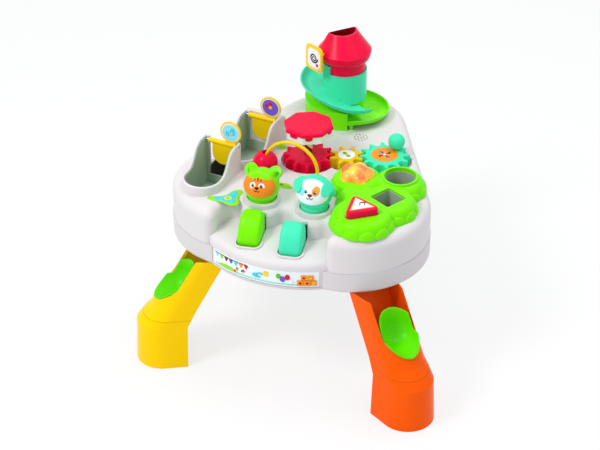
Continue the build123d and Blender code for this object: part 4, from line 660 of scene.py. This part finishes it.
def face_prints():
    """Plain cub and puppy faces of eyes, nose, mouth and patches."""
    brow = [on_circle(angle, 23.2, 17.8) for angle in range(32, 149, 9)]
    fringe = brow + [(-14.0, 8.4), (-7.0, 7.0), (0.0, 9.4), (7.0, 7.0), (14.0, 8.4)]
    stripe = [(5.6, 7.0), (4.0, 7.2), (3.2, 3.4), (4.2, 3.2)]
    cub_nose = [(-2.8, -5.4), (0, -4.8), (2.8, -5.4), (1.4, -8.0), (0, -8.6), (-1.4, -8.0)]
    cub_mouth = [
        (-4.0, -9.6), (-2.2, -11.0), (0, -9.4), (2.2, -11.0), (4.0, -9.6),
        (3.4, -10.8), (2.2, -11.9), (0, -10.4), (-2.2, -11.9), (-3.4, -10.8),
    ]
    sticker("cub_print", [
        ([shape(fringe)], lime),
        ([oval(-6.6, -3.0, 4.6, 5.0, 10), oval(6.6, -3.0, 4.6, 5.0, -10),
          oval(0, -9.4, 7.6, 5.8)], ink_white),
        ([shape([(-1.0, 8.6), (1.0, 8.6), (0.6, 3.4), (-0.6, 3.4)]),
          shape([(-x, y) for x, y in stripe]), shape(stripe)], ink_maroon),
        ([oval(-6.4, -2.6, 1.9, 2.4), oval(6.4, -2.6, 1.9, 2.4),
          shape(cub_nose, soft=True), shape(cub_mouth, soft=True)], ink_black),
        ([oval(-5.8, -1.6, 0.7), oval(7.0, -1.6, 0.7)], ink_white),
    ], face_frame(cub_head), "cub", "cub_face")
    pup_nose = [(-3.2, -5.4), (0, -4.6), (3.2, -5.4), (1.6, -8.4), (0, -9.0), (-1.6, -8.4)]
    pup_mouth = [
        (-5.0, -9.6), (-2.6, -11.4), (0, -9.8), (2.6, -11.4), (5.0, -9.6),
        (4.2, -11.0), (2.6, -12.4), (0, -10.8), (-2.6, -12.4), (-4.2, -11.0),
    ]
    sticker("pup_print", [
        ([oval(-13.0, -1.5, 4.4, 6.4, 12)], ink_sky),
        ([oval(7.6, 0.8, 5.2, 7.6, -14)], ink_tan),
        ([oval(-6.4, -1.8, 1.8, 2.3), oval(6.6, -1.8, 1.8, 2.3)], ink_black),
        ([shape(pup_nose, soft=True)], ink_maroon),
        ([shape(pup_mouth, soft=True)], ink_brown),
        ([oval(-5.8, -0.9, 0.7), oval(7.2, -0.9, 0.7)], ink_white),
    ], face_frame(pup_head), "pup", "pup_face")


def label_print():
    """Garden scene on the tray's front band: a hill, flowers, bunting, balloons, a cloud and toy blocks."""
    at = spot_frame((-25.0, -240.0, 205.25), (1.0, 0.0, 0.0), (0.0, -1.0, 0.0))
    flag = [(-3.6, 3.0), (3.6, 3.0), (0.4, -3.6), (-0.4, -3.6)]
    hill = [(-19, -5), (-12, -0.5), (-2, 1.6), (8, 0.2), (19, -5)]
    brick = [(-4.4, -4.4), (4.4, -4.4), (4.4, 4.4), (-4.4, 4.4)]
    flag_tones = (ink_sky, ink_lime, ink_maroon, ink_blue, ink_cyan, ink_orange, ink_red)
    first_flag, flag_pitch = -76, 8.8
    layers = [
        ([shape([(-79, -10.4), (79, -10.4), (79, -8.2), (-79, -8.2)])], ink_mint),
        ([shape(hill, -56, -4.6)], ink_lime),
        ([shape([(-80, 9.6), (-22, 9.6), (-22, 10.3), (-80, 10.3)])], ink_brown),
    ]
    for i, tone in enumerate(flag_tones):
        layers.append(([shape(flag, first_flag + flag_pitch * i, 6.4)], tone))
    layers += [
        (petals(-40, -4.4, 2.8, 2.2, 5) + petals(-28, -3.6, 2.4, 1.9, 5, 20), ink_red),
        ([oval(-40, -4.4, 1.5), oval(-28, -3.6, 1.3), oval(8.0, 4.4, 4.2)], ink_yellow),
        ([oval(-6, -1.6, 7.4, 3.4), oval(-1, 0.8, 4.6, 3.4), oval(5, -1.8, 6.6, 3.0)], ink_cyan),
        ([oval(33, -0.6, 3.8, 4.6, 10)], ink_purple),
        ([oval(40, 3.2, 3.6, 4.4, -6)], ink_red),
        ([oval(27, 4.0, 3.2, 4.0)], ink_leaf),
        ([oval(45, -3.4, 3.0, 3.8)], ink_white),
        ([shape(brick, 58, -5.4), shape(brick, 67.2, -5.4), shape(brick, 76.0, -5.4, 0.9),
          shape(brick, 62.8, 3.8, 0.9), shape(brick, 72.0, 3.6, 0.9)], ink_orange),
        ([oval(58, -5.4, 1.9), oval(67.2, -5.4, 1.9), oval(62.8, 3.8, 1.7)], ink_maroon),
        ([oval(76.0, -5.4, 1.6), oval(72.0, 3.6, 1.6)], ink_yellow),
    ]
    sticker("label_print", layers, at, "table", "front_label", 4.0)


# Softly modelled pieces
def settle(piece, body, finish):
    """Give a modelled piece its finish and let it ride on a body, with its place in its mesh."""
    pick(piece)
    bpy.ops.object.transform_apply(location=True, rotation=True, scale=True)
    piece.data.materials.clear()
    piece.data.materials.append(finish)
    bpy.ops.object.shade_smooth_by_angle(angle=math.radians(50.0))
    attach(piece, body)


def puffed(name, loop, thick, at, body, finish, inner=None):
    """Thick soft-edged leaf of plastic, with a printed inner field where one is given."""
    leaf = cut_sheet(name, [loop])
    bulk = leaf.modifiers.new("bulk", "SOLIDIFY")
    bulk.thickness, bulk.offset = thick * MM, 0.0
    rounding = leaf.modifiers.new("rounding", "BEVEL")
    rounding.width, rounding.segments, rounding.angle_limit = 0.42 * thick * MM, 4, math.radians(50.0)
    apply_all(leaf)
    leaf.matrix_world = at
    settle(leaf, body, finish)
    if inner:
        shade, tone = inner
        front = at @ Matrix.Translation((0, 0, 0.5 * thick * MM))
        sticker(f"{name}_print", [([shade], tone)], front, body)


def ears():
    """Broad leaf ears of the cub and hanging flaps of the pup."""
    right, rise, look = head_axes()
    leaf = [(-8.5, -7), (-10.5, 2), (-7, 9.5), (0, 12.5), (7, 9.5), (9.5, 2), (8, -7), (0, -9)]
    leaf_field = (shape(leaf, size=0.6, soft=True), ink_leaf)
    apart, above, ahead, thick = 17.0, 18.5, 4.0, 4.6
    for name, side in (("cub_left_ear", -1), ("cub_right_ear", 1)):
        place = cub_head + apart * side * right + above * rise + ahead * look
        at = spot_frame(place, right - 0.75 * side * rise, look - 0.15 * side * right + 0.1 * rise)
        puffed(name, shape(leaf, soft=True), thick, at, "cub", lime, leaf_field)
    flap = [(-7, 8), (0, 10), (7, 7.5), (9, -2), (6.5, -12), (0, -15.5), (-5.5, -12), (-8, -2)]
    apart, above, ahead, thick = 21.5, 7.0, 17.0, 4.4
    for name, side in (("pup_left_ear", -1), ("pup_right_ear", 1)):
        place = pup_head + apart * side * right + above * rise + ahead * look
        at = spot_frame(place, right - 0.28 * side * rise, look + 0.75 * side * right + 0.25 * rise)
        puffed(name, shape(flap, size=0.95, soft=True), thick, at, "pup", teal)


def bush_leaves():
    """Scalloped leaves round the foot of the bush, shaped once and copied."""
    lobes = [
        (98.0, -130.0, 45.0), (120.0, -84.0, 42.0), (118.0, -26.0, 38.0),
        (58.0, -42.0, 38.0), (76.0, -86.0, 30.0),
    ]
    leaf_radius, leaf_pitch, leaf_foot = 16.0, 23.5, 272.1
    inset, hidden, pup_room = 2.0, 4.0, 38.0
    put_down()
    bpy.ops.mesh.primitive_uv_sphere_add(
        segments=20, ring_count=12, radius=leaf_radius * MM, location=(0, 0, 0),
    )
    first = bpy.context.object
    pick_mesh(first)
    bpy.ops.transform.resize(value=(0.38, 0.86, 0.84), center_override=(0, 0, 0))
    bpy.ops.mesh.bisect(plane_co=(0, 0, 0), plane_no=(0, 0, 1), use_fill=True, clear_inner=True)
    bpy.ops.object.mode_set(mode="OBJECT")
    copies = []
    for index, (x, y, radius) in enumerate(lobes):
        count = round(2 * math.pi * radius / leaf_pitch)
        for i in range(count):
            angle = 2 * math.pi * (i + 0.5 * (index % 2)) / count
            px, py = x + (radius - inset) * math.cos(angle), y + (radius - inset) * math.sin(angle)
            inside = any(math.hypot(px - u, py - v) < r - hidden for u, v, r in lobes)
            near_pup = math.hypot(px - pup_head.x, py - pup_head.y) < pup_room
            if inside or near_pup:
                continue
            leaf = first.copy()
            leaf.data = first.data.copy()
            bpy.context.scene.collection.objects.link(leaf)
            foot = Matrix.Translation((px * MM, py * MM, leaf_foot * MM))
            leaf.matrix_world = foot @ Matrix.Rotation(angle, 4, "Z")
            copies.append(leaf)
    bpy.data.objects.remove(first)
    settle(joined(copies, "bush_leaves"), "table", lime)


def sorter_sleeves():
    """Grey-green linings of the two sorting holes."""
    depth, middle, wall, corner = 26, 277.5, 0.9, 3.0
    round_radius, square_half, square_turn = 23.35, 18.6, -28.0
    for name, x, y, sides, radius, turn in (
        ("round_sleeve", 119.0, -25.0, 64, round_radius, 0.0),
        ("square_sleeve", 121.0, -83.0, 4, square_half * math.sqrt(2), 45.0 + square_turn),
    ):
        put_down()
        bpy.ops.mesh.primitive_cylinder_add(
            vertices=sides, radius=radius * MM, depth=depth * MM, end_fill_type="NOTHING",
            location=(x * MM, y * MM, middle * MM), rotation=(0, 0, math.radians(turn)),
        )
        sleeve = bpy.context.object
        sleeve.name = sleeve.data.name = name
        if sides == 4:
            pick_mesh(sleeve)
            bpy.ops.mesh.bevel(offset=corner * MM, segments=4, affect="EDGES")
            bpy.ops.object.mode_set(mode="OBJECT")
        bulk = sleeve.modifiers.new("bulk", "SOLIDIFY")
        bulk.thickness, bulk.offset = wall * MM, -1.0
        apply_all(sleeve)
        settle(sleeve, "table", sage)


def ball_ended(angle):
    """Rounding for a leg's cup: the corner of trough and rear wall becomes part of a ball."""
    out = Vector(turned(angle))
    across = out.cross(Vector(UP))
    legs_middle, cup_reach = Vector((0.0, -83.0, 140.0)), 206.9
    centre = legs_middle + cup_reach * out

    def reshape(piece):
        for vertex in piece.data.vertices:
            away = vertex.co / MM - centre
            if away.dot(out) < 0.0 and away.z < 0.0:
                side = away.dot(across)
                reach = max(math.hypot(side, away.z), math.hypot(side, away.dot(out)))
                vertex.co = (centre + away * (reach / away.length)) * MM
    return reshape


def drawn_up(piece):
    """Shorten the drips of the canopy's icing, so that they end well above the band's foot."""
    kept = 0.7
    for vertex in piece.data.vertices:
        if vertex.co.z < icing_edge * MM:
            vertex.co.z = (icing_edge + (vertex.co.z / MM - icing_edge) * kept) * MM


def softened(node, body, finish, grid_size, passes, reshape=None):
    """Copy of a moulded piece with all its edges melted round, in place of the plain one."""
    piece = bpy.data.objects.new(f"soft_{node}", nodes[node].data.copy())
    bpy.context.scene.collection.objects.link(piece)
    pick_mesh(piece)
    bpy.ops.mesh.remove_doubles(threshold=weld)
    bpy.ops.object.mode_set(mode="OBJECT")
    grid = piece.modifiers.new("grid", "REMESH")
    grid.mode, grid.voxel_size = "VOXEL", grid_size * MM
    apply_all(piece)
    if reshape:
        reshape(piece)
    melt = piece.modifiers.new("melt", "SMOOTH")
    melt.factor, melt.iterations = 0.5, passes
    apply_all(piece)
    settle(piece, body, finish)
    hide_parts(node)


table_stickers()
gear_stickers()
gate_stickers()
sign_sticker()
button_sticker()
face_prints()
label_print()
ears()
bush_leaves()
sorter_sleeves()
softened("green_pedal", "green_pedal", lime, 1.2, 70)
softened("teal_pedal", "teal_pedal", teal, 1.2, 70)
softened("triangle_button", "button", red, 0.8, 24)
softened("carousel_gear", "carousel", red, 0.8, 16)
softened("idler_gear", "idler", gear_yellow, 0.7, 16)
softened("crank_gear", "crank", teal, 0.8, 16)
softened("canopy_icing", "carousel", red, 0.5, 16, drawn_up)
softened("left_leg_cup", "table", shaded_cup_lime, 0.8, 10, ball_ended(210.0))
softened("right_leg_cup", "table", shaded_cup_lime, 0.8, 10, ball_ended(-30.0))

set_camera()
set_studio()
set_floor()
bpy.context.scene.view_settings.view_transform = "Standard"
